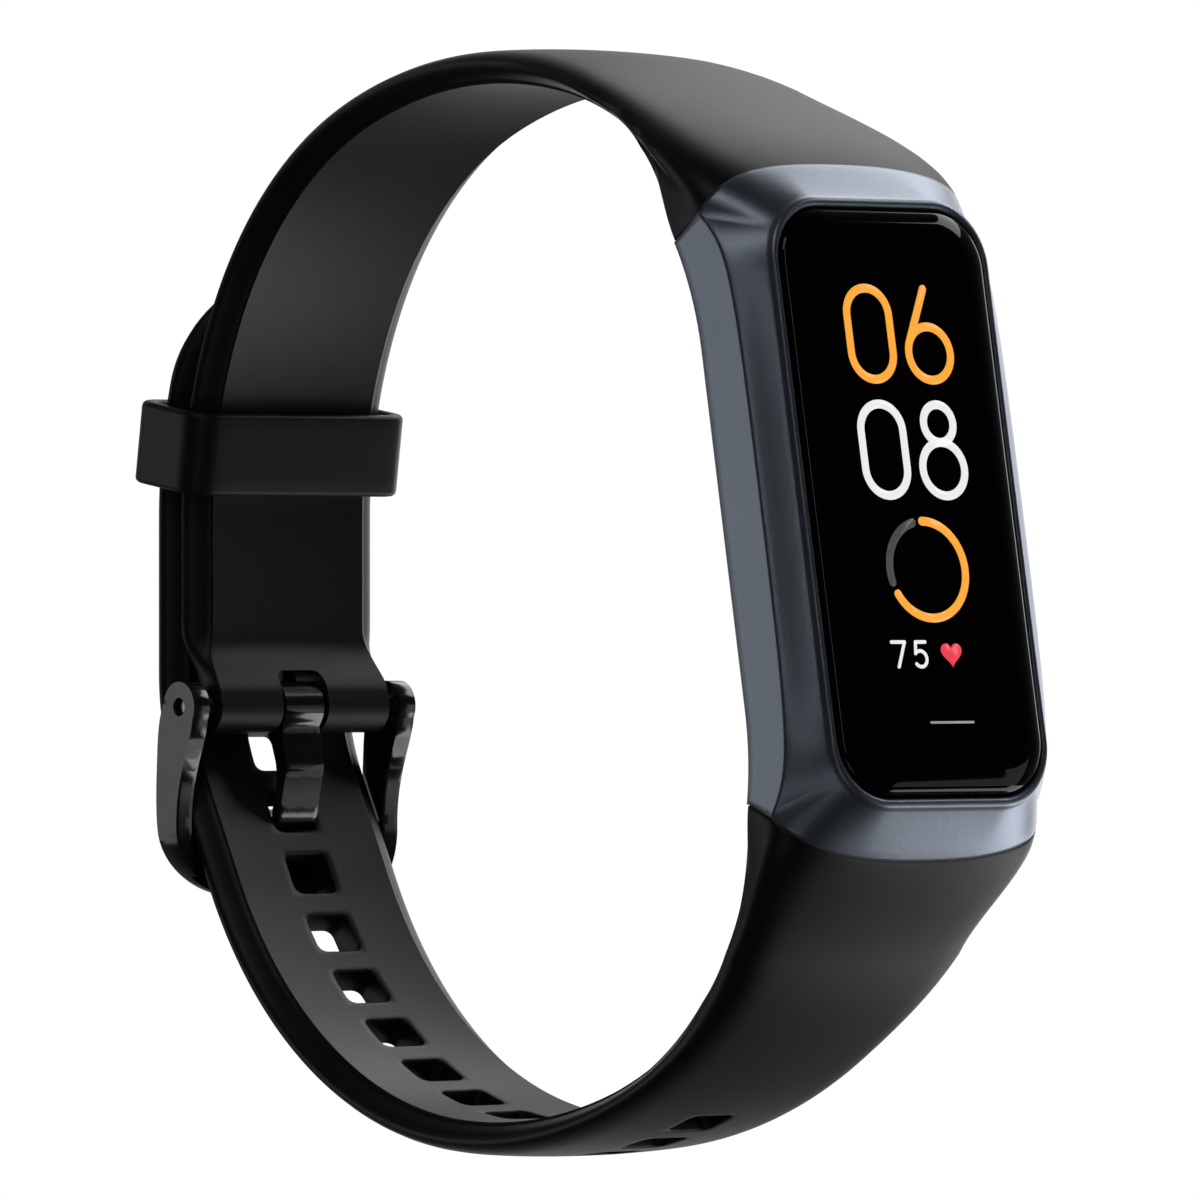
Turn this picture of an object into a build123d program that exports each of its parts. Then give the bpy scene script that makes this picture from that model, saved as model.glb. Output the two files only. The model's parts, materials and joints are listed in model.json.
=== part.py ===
"""Fitness tracker band, fastened: display module, two-piece strap, keeper loop and pin buckle.

Frame: +Z up, +X towards the display side, +Y along the wrist, origin at the centre of the wrist
opening. Millimetres throughout.
"""

import os
from math import cos, radians, sin, tan

from build123d import *

# ---- driving dimensions ---------------------------------------------------------------------
# display module: m runs towards 12 o'clock, n outwards through the glass, and Y is shared
MODULE_TILT = 10.7  # the glass faces this many degrees above +X
MODULE_X, MODULE_Z = 24.84, 4.67  # centre of the module's back
MODULE_LENGTH, MODULE_WIDTH = 39.8, 19.4
END_BOW = 2.0  # how far the arched ends stand beyond their corners
CORNER_R = 3.4
WALL_TOP_N = 3.7  # where the upright side wall turns into the slope
LIP_N = 5.35
LIP_LENGTH, LIP_WIDTH = 34.6, 16.0
INSIDE_N, OUTSIDE_N = -8.0, 12.0  # well inside and well outside the module

# glass, display and the cavity that they close; the rear cover closes it from inside
GLASS_LENGTH, GLASS_WIDTH, GLASS_R = 33.3, 14.8, 3.2
GLASS_BACK_N, GLASS_TOP_N, GLASS_EDGE_R = 4.9, 6.05, 0.95
GLASS_GAP = 0.1
LEDGE_N = 4.75  # the glass is bonded to this ledge
WINDOW_LENGTH, WINDOW_WIDTH, WINDOW_R = 30.8, 12.6, 1.5
DISPLAY_LENGTH, DISPLAY_WIDTH, DISPLAY_N = 30.0, 12.2, 4.25
CAVITY_LENGTH, CAVITY_WIDTH, CAVITY_R = 30.0, 15.0, 2.0
CAVITY_TOP_N = 4.2
COVER_LENGTH, COVER_WIDTH, COVER_R, COVER_T = 31.2, 16.2, 2.4, 1.0
GASKET_T = 0.3

# optical sensor and charging contacts, set in the rear cover
SENSOR_LENGTH, SENSOR_WIDTH, SENSOR_R, SENSOR_PROUD = 11.0, 9.0, 2.5, 0.45
SENSOR_TOP_N, BOARD_N = 0.55, 1.15
DIODE_SPREAD = 6.4
CONTACT_M, CONTACT_PITCH, CONTACT_R, CONTACT_PROUD = -11.2, 5.0, 0.9, 0.35
MAGNET_LENGTH, MAGNET_WIDTH, MAGNET_T, MAGNET_SPREAD = 3.0, 2.0, 0.8, 10.6

# power and electronics
BATTERY_M, BATTERY_N, BATTERY_T = -1.2, 1.45, 1.75
MAIN_BOARD_N, MAIN_BOARD_T = 3.35, 0.45
MOTOR_M, MOTOR_N, MOTOR_R = 13.3, 2.75, 1.3
MOTOR_SHAFT_R, MOTOR_BORE_R = 0.25, 0.3

# lugs on the module's ends, and the pins that hold the straps on them
FRAME_LUG_R, FRAME_LUG_WIDTH = 1.15, 10.0
LUG_PIN_R, LUG_PIN_LENGTH = 0.6, 12.6
UPPER_LUG, LOWER_LUG = (20.3, 23.7), (27.2, -15.8)

# strap: (radius, degrees) of each arc of its inner line, counted from the module
UPPER_ARCS = [(18.0, 55.3), (32.4, 45.0), (22.5, 38.0), (25.8, 31.0)]
LOWER_ARCS = [(16.6, 61.7), (35.2, 43.0), (25.6, 58.0)]
UPPER_START_M, LOWER_START_M = 9.45, -10.9
SHOULDER_M, SHOULDER_N = 19.9, 2.4  # where the strap's outer face meets the module
STRAP_T, STRAP_WIDTH = 2.1, 14.0
STRAP_EDGE_R = 1.2
THIN_END = 3.4  # the upper strap thins over this length above the pin
STRAP_GAP = 0.15  # between the two layers at the back of the wrist
LEAN = 28.0  # the holed strap leans this far off upright where it climbs to the buckle
LEAN_TURN_R = 12.0
LAP_SWEEP = 30.0  # how far the holed strap's end follows the other strap's curve
FLARE_START_X, FLARE_END_X = -6.0, 23.0  # the strap widens to the module's width between them
TIP_DROP = 7.2  # the rounded tip's corners lie this far below its top
HOLE_WIDTH, HOLE_LENGTH, HOLE_PITCH, HOLE_R = 3.3, 2.8, 4.1, 0.45
HOLES_ABOVE, HOLES_BELOW = 4, 11  # counted from the hole that the tongue is in
TONGUE_HOLE_DROP = 6.2  # from the pin down to that hole

# buckle
PIN_X, PIN_Z = -26.75, -6.15
LUG_R, LUG_WIDTH = 1.6, 13.2
TUBE_R, TUBE_BORE_R, TIP_R, SHOULDER_R = 0.75, 0.65, 0.475, 0.6
ARM_HOLE_R, TUBE_MOUTH_R = 0.55, 0.525
BUCKLE_WIDTH, ARM_GAP = 16.6, 14.3
BUCKLE_BOTTOM_Z, BAR_TOP_Z = -17.4, -13.1
BUCKLE_CORNER_R = 4.0
EYE_R = 1.5  # round the pin, on the buckle's arms and on the tongue
TONGUE_WIDTH, TONGUE_SLOT = 2.8, 3.4
NOTCH_DEPTH = 0.38  # in the crossbar's top edge, under the tongue's tip
HOOK_R, HOOK_T, HOOK_SWEEP = 7.0, 0.7, 22.0  # the tongue's hook curves about the pin
RUNNING = 0.05
STRAP_CLEAR = 0.25  # between the crossbar and the holed strap that runs through it

# spring bar: half lengths along Y, from its middle
TUBE_HALF, TUBE_LIP_T = LUG_WIDTH / 2 - 0.1, 0.4
TIP_END, SHOULDER_LENGTH, TIP_TRAVEL = 7.95, 1.3, 1.0
SPRING_R, SPRING_BORE_R = 0.55, 0.35

# keeper
KEEPER_ANGLE = 8.7  # up the strap's first arc
KEEPER_HEIGHT, KEEPER_WALL, KEEPER_CLEAR = 4.9, 1.2, 0.2
KEEPER_R, KEEPER_INNER_R = 1.6, 0.5

# ---- placing --------------------------------------------------------------------------------
TILT_COS, TILT_SIN = cos(radians(MODULE_TILT)), sin(radians(MODULE_TILT))
M_DIR = (-TILT_SIN, 0, TILT_COS)
N_DIR = (TILT_COS, 0, TILT_SIN)
LOOP = Plane.XZ  # side view, drawn in X and Z


def at(m, n):
    """The X and Z of a module point."""
    return (MODULE_X + n * TILT_COS - m * TILT_SIN, MODULE_Z + n * TILT_SIN + m * TILT_COS)


def face_plane(n, m=0.0, y=0.0):
    """A plane facing out through the glass, at height n over the module's back."""
    x, z = at(m, n)
    return Plane(origin=(x, y, z), x_dir=M_DIR, z_dir=N_DIR)


def turn(start, heading, radius, degrees):
    """One arc of a tangent chain: (its end, its new heading). Positive degrees turn left."""
    arc = JernArc(start, (cos(radians(heading)), sin(radians(heading))), radius, degrees)
    return arc @ 1, heading + degrees


def run(start, heading, length):
    """One straight of a tangent chain."""
    line = PolarLine(start, length, heading)
    return line @ 1


def rim(part, outer_line):
    """The long edges of a strap's outer face, on both sides."""
    wire = outer_line.wires()[0]
    side_edges = [edge for edge in part.edges() if abs((edge @ 0.5).Y) > STRAP_WIDTH / 2 - RUNNING]
    return [
        edge
        for edge in side_edges
        if wire.distance_to(Vector((edge @ 0.5).X, (edge @ 0.5).Z)) < RUNNING
    ]


def save(part, label):
    part.label = label
    export_step(part, f"parts/{label}.step")


os.makedirs("parts", exist_ok=True)

# ---- the loop's inner line ------------------------------------------------------------------
# The upper strap turns left from the module over the top and down to the buckle pin. The lower
# strap turns right, runs under the wrist and climbs outside the upper strap.
TOP_ARC_R = UPPER_ARCS[-1][0]
OUTER_LAP_R = TOP_ARC_R + STRAP_T + STRAP_GAP  # inner face of the holed strap, lapped over

with BuildLine() as upper_inner:
    point, heading = Vector(*at(UPPER_START_M, 0)), 90 + MODULE_TILT
    for radius, degrees in UPPER_ARCS:
        point, heading = turn(point, heading, radius, degrees)
    straight_top = point
    Line(point, (point.X, PIN_Z))
ARC_CENTRE = Vector(straight_top.X + TOP_ARC_R, straight_top.Y)

lap_x = straight_top.X - STRAP_T - STRAP_GAP
with BuildLine() as lower_inner:
    point, heading = Vector(*at(LOWER_START_M, 0)), MODULE_TILT - 90
    for radius, degrees in LOWER_ARCS:
        point, heading = turn(point, heading, radius, -degrees)
    lean_dx = point.X - lap_x - LEAN_TURN_R * (1 - cos(radians(LEAN)))
    lean_start = point
    point = run(point, heading, lean_dx / sin(radians(LEAN)))
    point, heading = turn(point, heading, LEAN_TURN_R, -LEAN)
    point = run(point, heading, ARC_CENTRE.Y - point.Y)
    point, heading = turn(point, heading, OUTER_LAP_R, -LAP_SWEEP)
    lap_end = point
    lap_heading = heading

# outer lines: the same arcs one strap thickness out, then a straight to the module's end
with BuildLine() as upper_outer:
    point, heading = Vector(straight_top.X - STRAP_T, PIN_Z + THIN_END), 90.0
    point = run(point, heading, straight_top.Y - point.Y)
    for radius, degrees in reversed(UPPER_ARCS[1:]):
        point, heading = turn(point, heading, radius + STRAP_T, -degrees)
    Line(point, at(SHOULDER_M, SHOULDER_N))

outward = Vector(cos(radians(lap_heading + 90)), sin(radians(lap_heading + 90)))
with BuildLine() as lower_outer:
    point, heading = lap_end + outward * STRAP_T, lap_heading + 180
    point, heading = turn(point, heading, OUTER_LAP_R + STRAP_T, LAP_SWEEP)
    lean_end_z = lean_start.Y + lean_dx / tan(radians(LEAN)) + LEAN_TURN_R * sin(radians(LEAN))
    point = run(point, heading, point.Y - lean_end_z)
    point, heading = turn(point, heading, LEAN_TURN_R + STRAP_T, LEAN)
    point = run(point, heading, lean_dx / sin(radians(LEAN)))
    for radius, degrees in reversed(LOWER_ARCS[1:]):
        point, heading = turn(point, heading, radius + STRAP_T, degrees)
    point, heading = turn(point, heading, LOWER_ARCS[0][0] + STRAP_T, 16.0)
    Line(point, at(-SHOULDER_M, SHOULDER_N))

# ---- shared cutters -------------------------------------------------------------------------
half_length, half_width = MODULE_LENGTH / 2, MODULE_WIDTH / 2

with BuildSketch() as module_plan:
    with BuildLine():
        side_m = half_length - END_BOW
        ThreePointArc((side_m, -half_width), (half_length, 0), (side_m, half_width))
        Line((side_m, half_width), (-side_m, half_width))
        ThreePointArc((-side_m, half_width), (-half_length, 0), (-side_m, -half_width))
        Line((-side_m, -half_width), (side_m, -half_width))
    make_face()
    fillet(module_plan.vertices(), CORNER_R)

with BuildPart() as envelope:
    with BuildSketch(face_plane(INSIDE_N)):
        add(module_plan.sketch)
    extrude(amount=OUTSIDE_N - INSIDE_N)

# seen from above, the strap widens from its plain width to the module's
with BuildPart() as flare:
    with BuildSketch(Plane.XY.offset(-40)):
        with BuildLine():
            plain, wide = STRAP_WIDTH / 2, half_width
            Line((-40, -plain), (FLARE_START_X, -plain))
            near = Spline(
                (FLARE_START_X, -plain), (FLARE_END_X, -wide), tangents=[(1, 0), (1, 0)]
            )
            Line(near @ 1, (40, -wide))
            Line((40, -wide), (40, wide))
            Line((40, wide), (FLARE_END_X, wide))
            far = Spline((FLARE_END_X, wide), (FLARE_START_X, plain), tangents=[(-1, 0), (-1, 0)])
            Line(far @ 1, (-40, plain))
            Line((-40, plain), (-40, -plain))
        make_face()
    extrude(amount=80)

# ---- display module -------------------------------------------------------------------------
with BuildPart() as frame_block:
    with BuildSketch(LOOP):
        with BuildLine():
            top_arc = JernArc(at(UPPER_START_M, 0), (-TILT_SIN, TILT_COS), UPPER_ARCS[0][0], 40)
            low_arc = JernArc(at(LOWER_START_M, 0), (TILT_SIN, -TILT_COS), LOWER_ARCS[0][0], -40)
            Line(at(UPPER_START_M, 0), at(LOWER_START_M, 0))
            Line(top_arc @ 1, at(half_length + 4, OUTSIDE_N))
            Line(at(half_length + 4, OUTSIDE_N), at(-half_length - 4, OUTSIDE_N))
            Line(at(-half_length - 4, OUTSIDE_N), low_arc @ 1)
        make_face()
    extrude(amount=half_width + 2, both=True)
    add(envelope.part, mode=Mode.INTERSECT)

with BuildPart() as frame_top:
    with BuildSketch(face_plane(INSIDE_N)):
        add(module_plan.sketch)
    extrude(amount=WALL_TOP_N - INSIDE_N)
    with BuildSketch(face_plane(WALL_TOP_N)) as foot:
        add(module_plan.sketch)
    with BuildSketch(face_plane(LIP_N)) as crest:
        RectangleRounded(LIP_LENGTH, LIP_WIDTH, CORNER_R)
    loft()

# the frame: block between the back line and the sloped top, hollowed for the stack
with BuildPart() as frame_lugs:
    for centre, root_m in ((UPPER_LUG, half_length - 2.0), (LOWER_LUG, 2.0 - half_length)):
        with BuildSketch(LOOP):
            with Locations(centre):
                Circle(FRAME_LUG_R)
            root = at(root_m, 0.6)
            Polygon(
                (centre[0] - 0.4, centre[1] + FRAME_LUG_R * 0.8),
                (centre[0] - 0.4, centre[1] - FRAME_LUG_R * 0.8),
                (root[0], root[1] - 1.0),
                (root[0], root[1] + 1.0),
                align=None,
            )
        extrude(amount=FRAME_LUG_WIDTH / 2, both=True)

with BuildPart() as lug_pins:
    for centre in (UPPER_LUG, LOWER_LUG):
        with BuildSketch(LOOP):
            with Locations(centre):
                Circle(LUG_PIN_R)
        extrude(amount=LUG_PIN_LENGTH / 2, both=True)

with BuildPart() as module_frame:
    add(frame_block.part)
    add(frame_top.part, mode=Mode.INTERSECT)
    add(frame_lugs.part)
    add(lug_pins.part, mode=Mode.SUBTRACT)
    glass_pocket = (
        GLASS_LENGTH + 2 * GLASS_GAP,
        GLASS_WIDTH + 2 * GLASS_GAP,
        GLASS_R + GLASS_GAP,
    )
    module_cut = [
        (INSIDE_N, COVER_T + GASKET_T, COVER_LENGTH, COVER_WIDTH, COVER_R),
        (COVER_T, CAVITY_TOP_N, CAVITY_LENGTH, CAVITY_WIDTH, CAVITY_R),
        (CAVITY_TOP_N, LEDGE_N, WINDOW_LENGTH, WINDOW_WIDTH, WINDOW_R),
        (LEDGE_N, OUTSIDE_N, *glass_pocket),
    ]
    for low, high, length, width, corner in module_cut:
        with BuildSketch(face_plane(low)):
            RectangleRounded(length, width, corner)
        extrude(amount=high - low, mode=Mode.SUBTRACT)

# rear cover, with openings for the sensor's window and the charging contacts
with BuildPart() as rear_cover:
    with BuildSketch(face_plane(INSIDE_N)):
        RectangleRounded(COVER_LENGTH, COVER_WIDTH, COVER_R)
    extrude(amount=COVER_T - INSIDE_N)
    add(frame_block.part, mode=Mode.INTERSECT)
    with BuildSketch(face_plane(INSIDE_N)):
        RectangleRounded(SENSOR_LENGTH, SENSOR_WIDTH, SENSOR_R)
    extrude(amount=COVER_T - INSIDE_N, mode=Mode.SUBTRACT)
    with BuildSketch(face_plane(INSIDE_N, CONTACT_M)):
        with GridLocations(1, CONTACT_PITCH, 1, 2):
            Circle(CONTACT_R)
    extrude(amount=COVER_T - INSIDE_N, mode=Mode.SUBTRACT)

with BuildPart() as sensor_window:
    with BuildSketch(face_plane(-SENSOR_PROUD)):
        RectangleRounded(SENSOR_LENGTH, SENSOR_WIDTH, SENSOR_R)
    extrude(amount=SENSOR_PROUD + SENSOR_TOP_N)
    fillet(sensor_window.faces().sort_by(Axis((0, 0, 0), N_DIR))[0].edges(), 0.4)

with BuildPart() as charge_contacts:
    with BuildSketch(face_plane(-CONTACT_PROUD, CONTACT_M)):
        with GridLocations(1, CONTACT_PITCH, 1, 2):
            Circle(CONTACT_R)
    extrude(amount=CONTACT_PROUD + COVER_T)

with BuildPart() as rear_gasket:
    with BuildSketch(face_plane(COVER_T)):
        RectangleRounded(COVER_LENGTH, COVER_WIDTH, COVER_R)
        RectangleRounded(CAVITY_LENGTH, CAVITY_WIDTH, CAVITY_R, mode=Mode.SUBTRACT)
    extrude(amount=GASKET_T)

# the sensor's board faces the wrist: lamps and photodiodes below it, a wall between them
with BuildPart() as sensor_board:
    with BuildSketch(face_plane(BOARD_N)):
        RectangleRounded(10.4, 8.4, 1.0)
    extrude(amount=0.25)

with BuildPart() as sensor_lamps:
    with BuildSketch(face_plane(BOARD_N)):
        with GridLocations(1, 1.4, 1, 2):
            Rectangle(1.0, 0.9)
    extrude(amount=-0.4)

with BuildPart() as photodiodes:
    with BuildSketch(face_plane(BOARD_N)):
        with GridLocations(DIODE_SPREAD, 1, 2, 1):
            Rectangle(1.8, 2.6)
    extrude(amount=-0.35)

with BuildPart() as light_wall:
    with BuildSketch(face_plane(SENSOR_TOP_N)):
        RectangleRounded(9.8, 7.8, 1.2)
        RectangleRounded(3.0, 3.6, 0.4, mode=Mode.SUBTRACT)
        with GridLocations(DIODE_SPREAD, 1, 2, 1):
            RectangleRounded(2.2, 3.2, 0.3, mode=Mode.SUBTRACT)
    extrude(amount=BOARD_N - SENSOR_TOP_N)

with BuildPart() as charge_magnets:
    with BuildSketch(face_plane(COVER_T, CONTACT_M)):
        with GridLocations(1, MAGNET_SPREAD, 1, 2):
            Rectangle(MAGNET_LENGTH, MAGNET_WIDTH)
    extrude(amount=MAGNET_T)

# battery pouch and its tape, the main board over it and the chips on the board's underside
with BuildPart() as battery:
    with BuildSketch(face_plane(BATTERY_N, BATTERY_M)):
        RectangleRounded(16.4, 11.4, 0.8)
    extrude(amount=BATTERY_T)

with BuildPart() as battery_tape:
    with BuildSketch(face_plane(BATTERY_N + BATTERY_T, BATTERY_M)):
        Rectangle(14.0, 9.0)
    extrude(amount=0.15)

with BuildPart() as main_board:
    with BuildSketch(face_plane(MAIN_BOARD_N, -1.6)):
        RectangleRounded(26.0, 13.6, 1.0)
    extrude(amount=MAIN_BOARD_T)

with BuildPart() as board_chips:
    for chip_m, chip_y, chip_l, chip_w, chip_t in (
        (9.4, 2.6, 3.2, 4.4, 0.9),
        (9.4, -3.2, 2.6, 3.2, 0.8),
        (-12.2, 2.4, 3.0, 3.0, 0.8),
        (-12.2, -2.8, 2.2, 4.0, 0.7),
    ):
        with BuildSketch(face_plane(MAIN_BOARD_N, chip_m, chip_y)):
            Rectangle(chip_l, chip_w)
        extrude(amount=-chip_t)

with BuildPart() as antenna:
    with BuildSketch(face_plane(MAIN_BOARD_N + MAIN_BOARD_T, -13.6)):
        Rectangle(1.6, 11.0)
    extrude(amount=0.15)

# vibration motor: a round case across the module, its shaft carrying an off-centre weight
MOTOR_AXIS = at(MOTOR_M, MOTOR_N)
with BuildPart() as motor_case:
    with BuildSketch(LOOP.offset(-1.2)):
        with Locations(MOTOR_AXIS):
            Circle(MOTOR_R)
            Circle(MOTOR_BORE_R, mode=Mode.SUBTRACT)
    extrude(amount=-5.2)

with BuildPart() as motor_shaft:
    with BuildSketch(LOOP.offset(4.4)):
        with Locations(MOTOR_AXIS):
            Circle(MOTOR_SHAFT_R)
    extrude(amount=-10.4)

with BuildPart() as motor_weight:
    with BuildSketch(LOOP.offset(4.0)):
        with Locations(MOTOR_AXIS):
            Circle(1.15)
            with Locations((0, 0.75)):
                Rectangle(3, 1.5, mode=Mode.SUBTRACT)
            Circle(0.5)
            Circle(MOTOR_SHAFT_R, mode=Mode.SUBTRACT)
    extrude(amount=-4.4)

# display stack
with BuildPart() as display_panel:
    with BuildSketch(face_plane(DISPLAY_N)):
        RectangleRounded(DISPLAY_LENGTH, DISPLAY_WIDTH, 1.2)
    extrude(amount=GLASS_BACK_N - DISPLAY_N)

with BuildPart() as display_flex:
    with BuildSketch(face_plane(MAIN_BOARD_N + MAIN_BOARD_T, -12.2)):
        Rectangle(1.0, 6.0)
    extrude(amount=DISPLAY_N - MAIN_BOARD_N - MAIN_BOARD_T)

with BuildPart() as glass_adhesive:
    with BuildSketch(face_plane(LEDGE_N)):
        RectangleRounded(GLASS_LENGTH, GLASS_WIDTH, GLASS_R)
        RectangleRounded(WINDOW_LENGTH, WINDOW_WIDTH, WINDOW_R, mode=Mode.SUBTRACT)
    extrude(amount=GLASS_BACK_N - LEDGE_N)

with BuildPart() as cover_glass:
    with BuildSketch(face_plane(GLASS_BACK_N)):
        RectangleRounded(GLASS_LENGTH, GLASS_WIDTH, GLASS_R)
    extrude(amount=GLASS_TOP_N - GLASS_BACK_N)
    fillet(cover_glass.faces().sort_by(Axis((0, 0, 0), N_DIR))[-1].edges(), GLASS_EDGE_R)

# ---- strap ----------------------------------------------------------------------------------
pin = (PIN_X, PIN_Z)
with BuildPart() as upper_strap:
    with BuildSketch(LOOP):
        with BuildLine():
            add(upper_inner.line)
            add(upper_outer.line)
            Line((straight_top.X, PIN_Z), (straight_top.X - 1.0, PIN_Z))
            Line((straight_top.X - 1.0, PIN_Z), (straight_top.X - STRAP_T, PIN_Z + THIN_END))
            Line(at(UPPER_START_M, 0), at(SHOULDER_M, SHOULDER_N))
        make_face()
        Polygon(
            (straight_top.X, PIN_Z + 4.4),
            (PIN_X + LUG_R * 0.94, PIN_Z + LUG_R * 0.34),
            (PIN_X, PIN_Z),
            (straight_top.X - 0.5, PIN_Z + 1),
            align=None,
        )
        with Locations(pin):
            Circle(LUG_R)
            Circle(TUBE_R, mode=Mode.SUBTRACT)
    extrude(amount=half_width + 1, both=True)
    add(flare.part, mode=Mode.INTERSECT)
    fillet(rim(upper_strap.part, upper_outer.line), STRAP_EDGE_R)
    add(envelope.part, mode=Mode.SUBTRACT)
    add(frame_lugs.part, mode=Mode.SUBTRACT)
    add(lug_pins.part, mode=Mode.SUBTRACT)
    # the tongue's slot, and the narrower eye that goes between the buckle's arms
    with BuildSketch(LOOP):
        with Locations((PIN_X, PIN_Z - 1.2)):
            Rectangle(8, 6.7)
    extrude(amount=TONGUE_SLOT / 2, both=True, mode=Mode.SUBTRACT)
    for side in (-1, 1):
        with BuildSketch(LOOP.offset(-side * (LUG_WIDTH / 2 + 2))):
            with Locations(pin):
                Rectangle(8, 2 * LUG_R + 1.4)
        extrude(amount=2, both=True, mode=Mode.SUBTRACT)

# the holed strap, its tip rounded in plan, with one row of slots for the tongue
with BuildPart() as lower_strap:
    with BuildSketch(LOOP):
        with BuildLine():
            add(lower_inner.line)
            add(lower_outer.line)
            Line(lap_end, lap_end + outward * STRAP_T)
            Line(at(LOWER_START_M, 0), at(-SHOULDER_M, SHOULDER_N))
        make_face()
    extrude(amount=half_width + 1, both=True)
    add(flare.part, mode=Mode.INTERSECT)
    fillet(rim(lower_strap.part, lower_outer.line), STRAP_EDGE_R)
    add(envelope.part, mode=Mode.SUBTRACT)
    add(frame_lugs.part, mode=Mode.SUBTRACT)
    add(lug_pins.part, mode=Mode.SUBTRACT)
    with BuildSketch(Plane.YZ.offset(-40)):
        tip_z = lap_end.Y + outward.Y * STRAP_T - 0.3
        with BuildLine():
            tip_arc = ThreePointArc((-8, tip_z - TIP_DROP), (0, tip_z), (8, tip_z - TIP_DROP))
            Polyline(tip_arc @ 1, (8, tip_z + 4), (-8, tip_z + 4), tip_arc @ 0)
        make_face()
    extrude(amount=25, mode=Mode.SUBTRACT)
    # slots, stepped along the inner line from the one that the tongue is in
    hole_path = lower_inner.wires()[0]
    climb = (PIN_Z - TONGUE_HOLE_DROP - lean_start.Y) / cos(radians(LEAN))
    arcs_length = sum(radius * radians(degrees) for radius, degrees in LOWER_ARCS)
    for step in range(-HOLES_BELOW, HOLES_ABOVE + 1):
        reach = arcs_length + climb + step * HOLE_PITCH
        spot = hole_path.position_at(reach, position_mode=PositionMode.LENGTH)
        slope = hole_path.tangent_at(reach, position_mode=PositionMode.LENGTH)
        through = Plane(
            origin=(spot.X, 0, spot.Y), x_dir=(slope.X, 0, slope.Y), z_dir=(-slope.Y, 0, slope.X)
        )
        with BuildSketch(through):
            RectangleRounded(HOLE_LENGTH, HOLE_WIDTH, HOLE_R)
        extrude(amount=STRAP_T + 0.6, both=True, mode=Mode.SUBTRACT)

# ---- keeper loop: a rectangular ring round both layers, on the strap's first arc ------------
keeper_in_r = TOP_ARC_R - KEEPER_CLEAR - 0.12
keeper_out_r = OUTER_LAP_R + STRAP_T + KEEPER_CLEAR
keeper_mid_r = (keeper_in_r + keeper_out_r) / 2
keeper_depth = keeper_out_r - keeper_in_r
keeper_inside = STRAP_WIDTH + 2 * KEEPER_CLEAR
up_arc = radians(KEEPER_ANGLE)
keeper_dir = Vector(sin(up_arc), 0, cos(up_arc))
keeper_spot = (
    ARC_CENTRE.X - keeper_mid_r * cos(up_arc),
    0,
    ARC_CENTRE.Y + keeper_mid_r * sin(up_arc),
)
keeper_plane = Plane(origin=keeper_spot, x_dir=(0, 1, 0), z_dir=keeper_dir)
with BuildPart() as keeper_loop:
    with BuildSketch(keeper_plane):
        wall = 2 * KEEPER_WALL
        RectangleRounded(keeper_inside + wall, keeper_depth + wall, KEEPER_R)
        RectangleRounded(keeper_inside, keeper_depth, KEEPER_INNER_R, mode=Mode.SUBTRACT)
    extrude(amount=KEEPER_HEIGHT / 2, both=True)

# ---- buckle ---------------------------------------------------------------------------------
with BuildPart() as bar_room:
    # everything within a running gap of the holed strap, between the arms
    with BuildSketch(LOOP):
        with BuildLine():
            add(lower_inner.line)
            Line(lap_end, (lap_end.X + 20, lap_end.Y))
            Line((lap_end.X + 20, lap_end.Y), at(LOWER_START_M, 0))
        make_face()
        offset(amount=STRAP_T + STRAP_CLEAR)
    extrude(amount=ARM_GAP / 2, both=True)

with BuildPart() as buckle_frame:
    with BuildSketch(LOOP):
        with BuildLine():
            Spline(
                (PIN_X - 0.2, PIN_Z + 1.5),
                (-28.35, -6.1),
                (-28.9, -9.2),
                (-28.95, -12.6),
                (-28.35, -15.4),
                (-27.0, BUCKLE_BOTTOM_Z),
            )
            Line((-27.0, BUCKLE_BOTTOM_Z), (-26.0, BUCKLE_BOTTOM_Z + 0.2))
            Spline(
                (-26.0, BUCKLE_BOTTOM_Z + 0.2),
                (-26.9, -14.6),
                (-26.95, -12.0),
                (-26.2, -9.2),
                (PIN_X + 1.35, PIN_Z - 0.5),
                (PIN_X + 0.9, PIN_Z + 1.2),
            )
            Line((PIN_X + 0.9, PIN_Z + 1.2), (PIN_X - 0.2, PIN_Z + 1.5))
        make_face()
        with Locations(pin):
            Circle(EYE_R)
            Circle(ARM_HOLE_R, mode=Mode.SUBTRACT)
    extrude(amount=BUCKLE_WIDTH / 2, both=True)
    with BuildSketch(Plane.YZ.offset(-40)) as u_shape:
        with BuildLine():
            u_width = BUCKLE_WIDTH / 2
            Polyline(
                (-u_width, 0),
                (u_width, 0),
                (u_width, BUCKLE_BOTTOM_Z),
                (-u_width, BUCKLE_BOTTOM_Z),
                close=True,
            )
        make_face()
        fillet(u_shape.vertices().group_by(Axis.Y)[0], BUCKLE_CORNER_R)
        with Locations((0, BAR_TOP_Z / 2)):
            RectangleRounded(ARM_GAP, -BAR_TOP_Z, 1.2, mode=Mode.SUBTRACT)
        with Locations((0, BAR_TOP_Z)):
            Rectangle(TONGUE_WIDTH + 0.5, NOTCH_DEPTH * 2, mode=Mode.SUBTRACT)
    extrude(amount=60, mode=Mode.INTERSECT)
    add(bar_room.part, mode=Mode.SUBTRACT)

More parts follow.
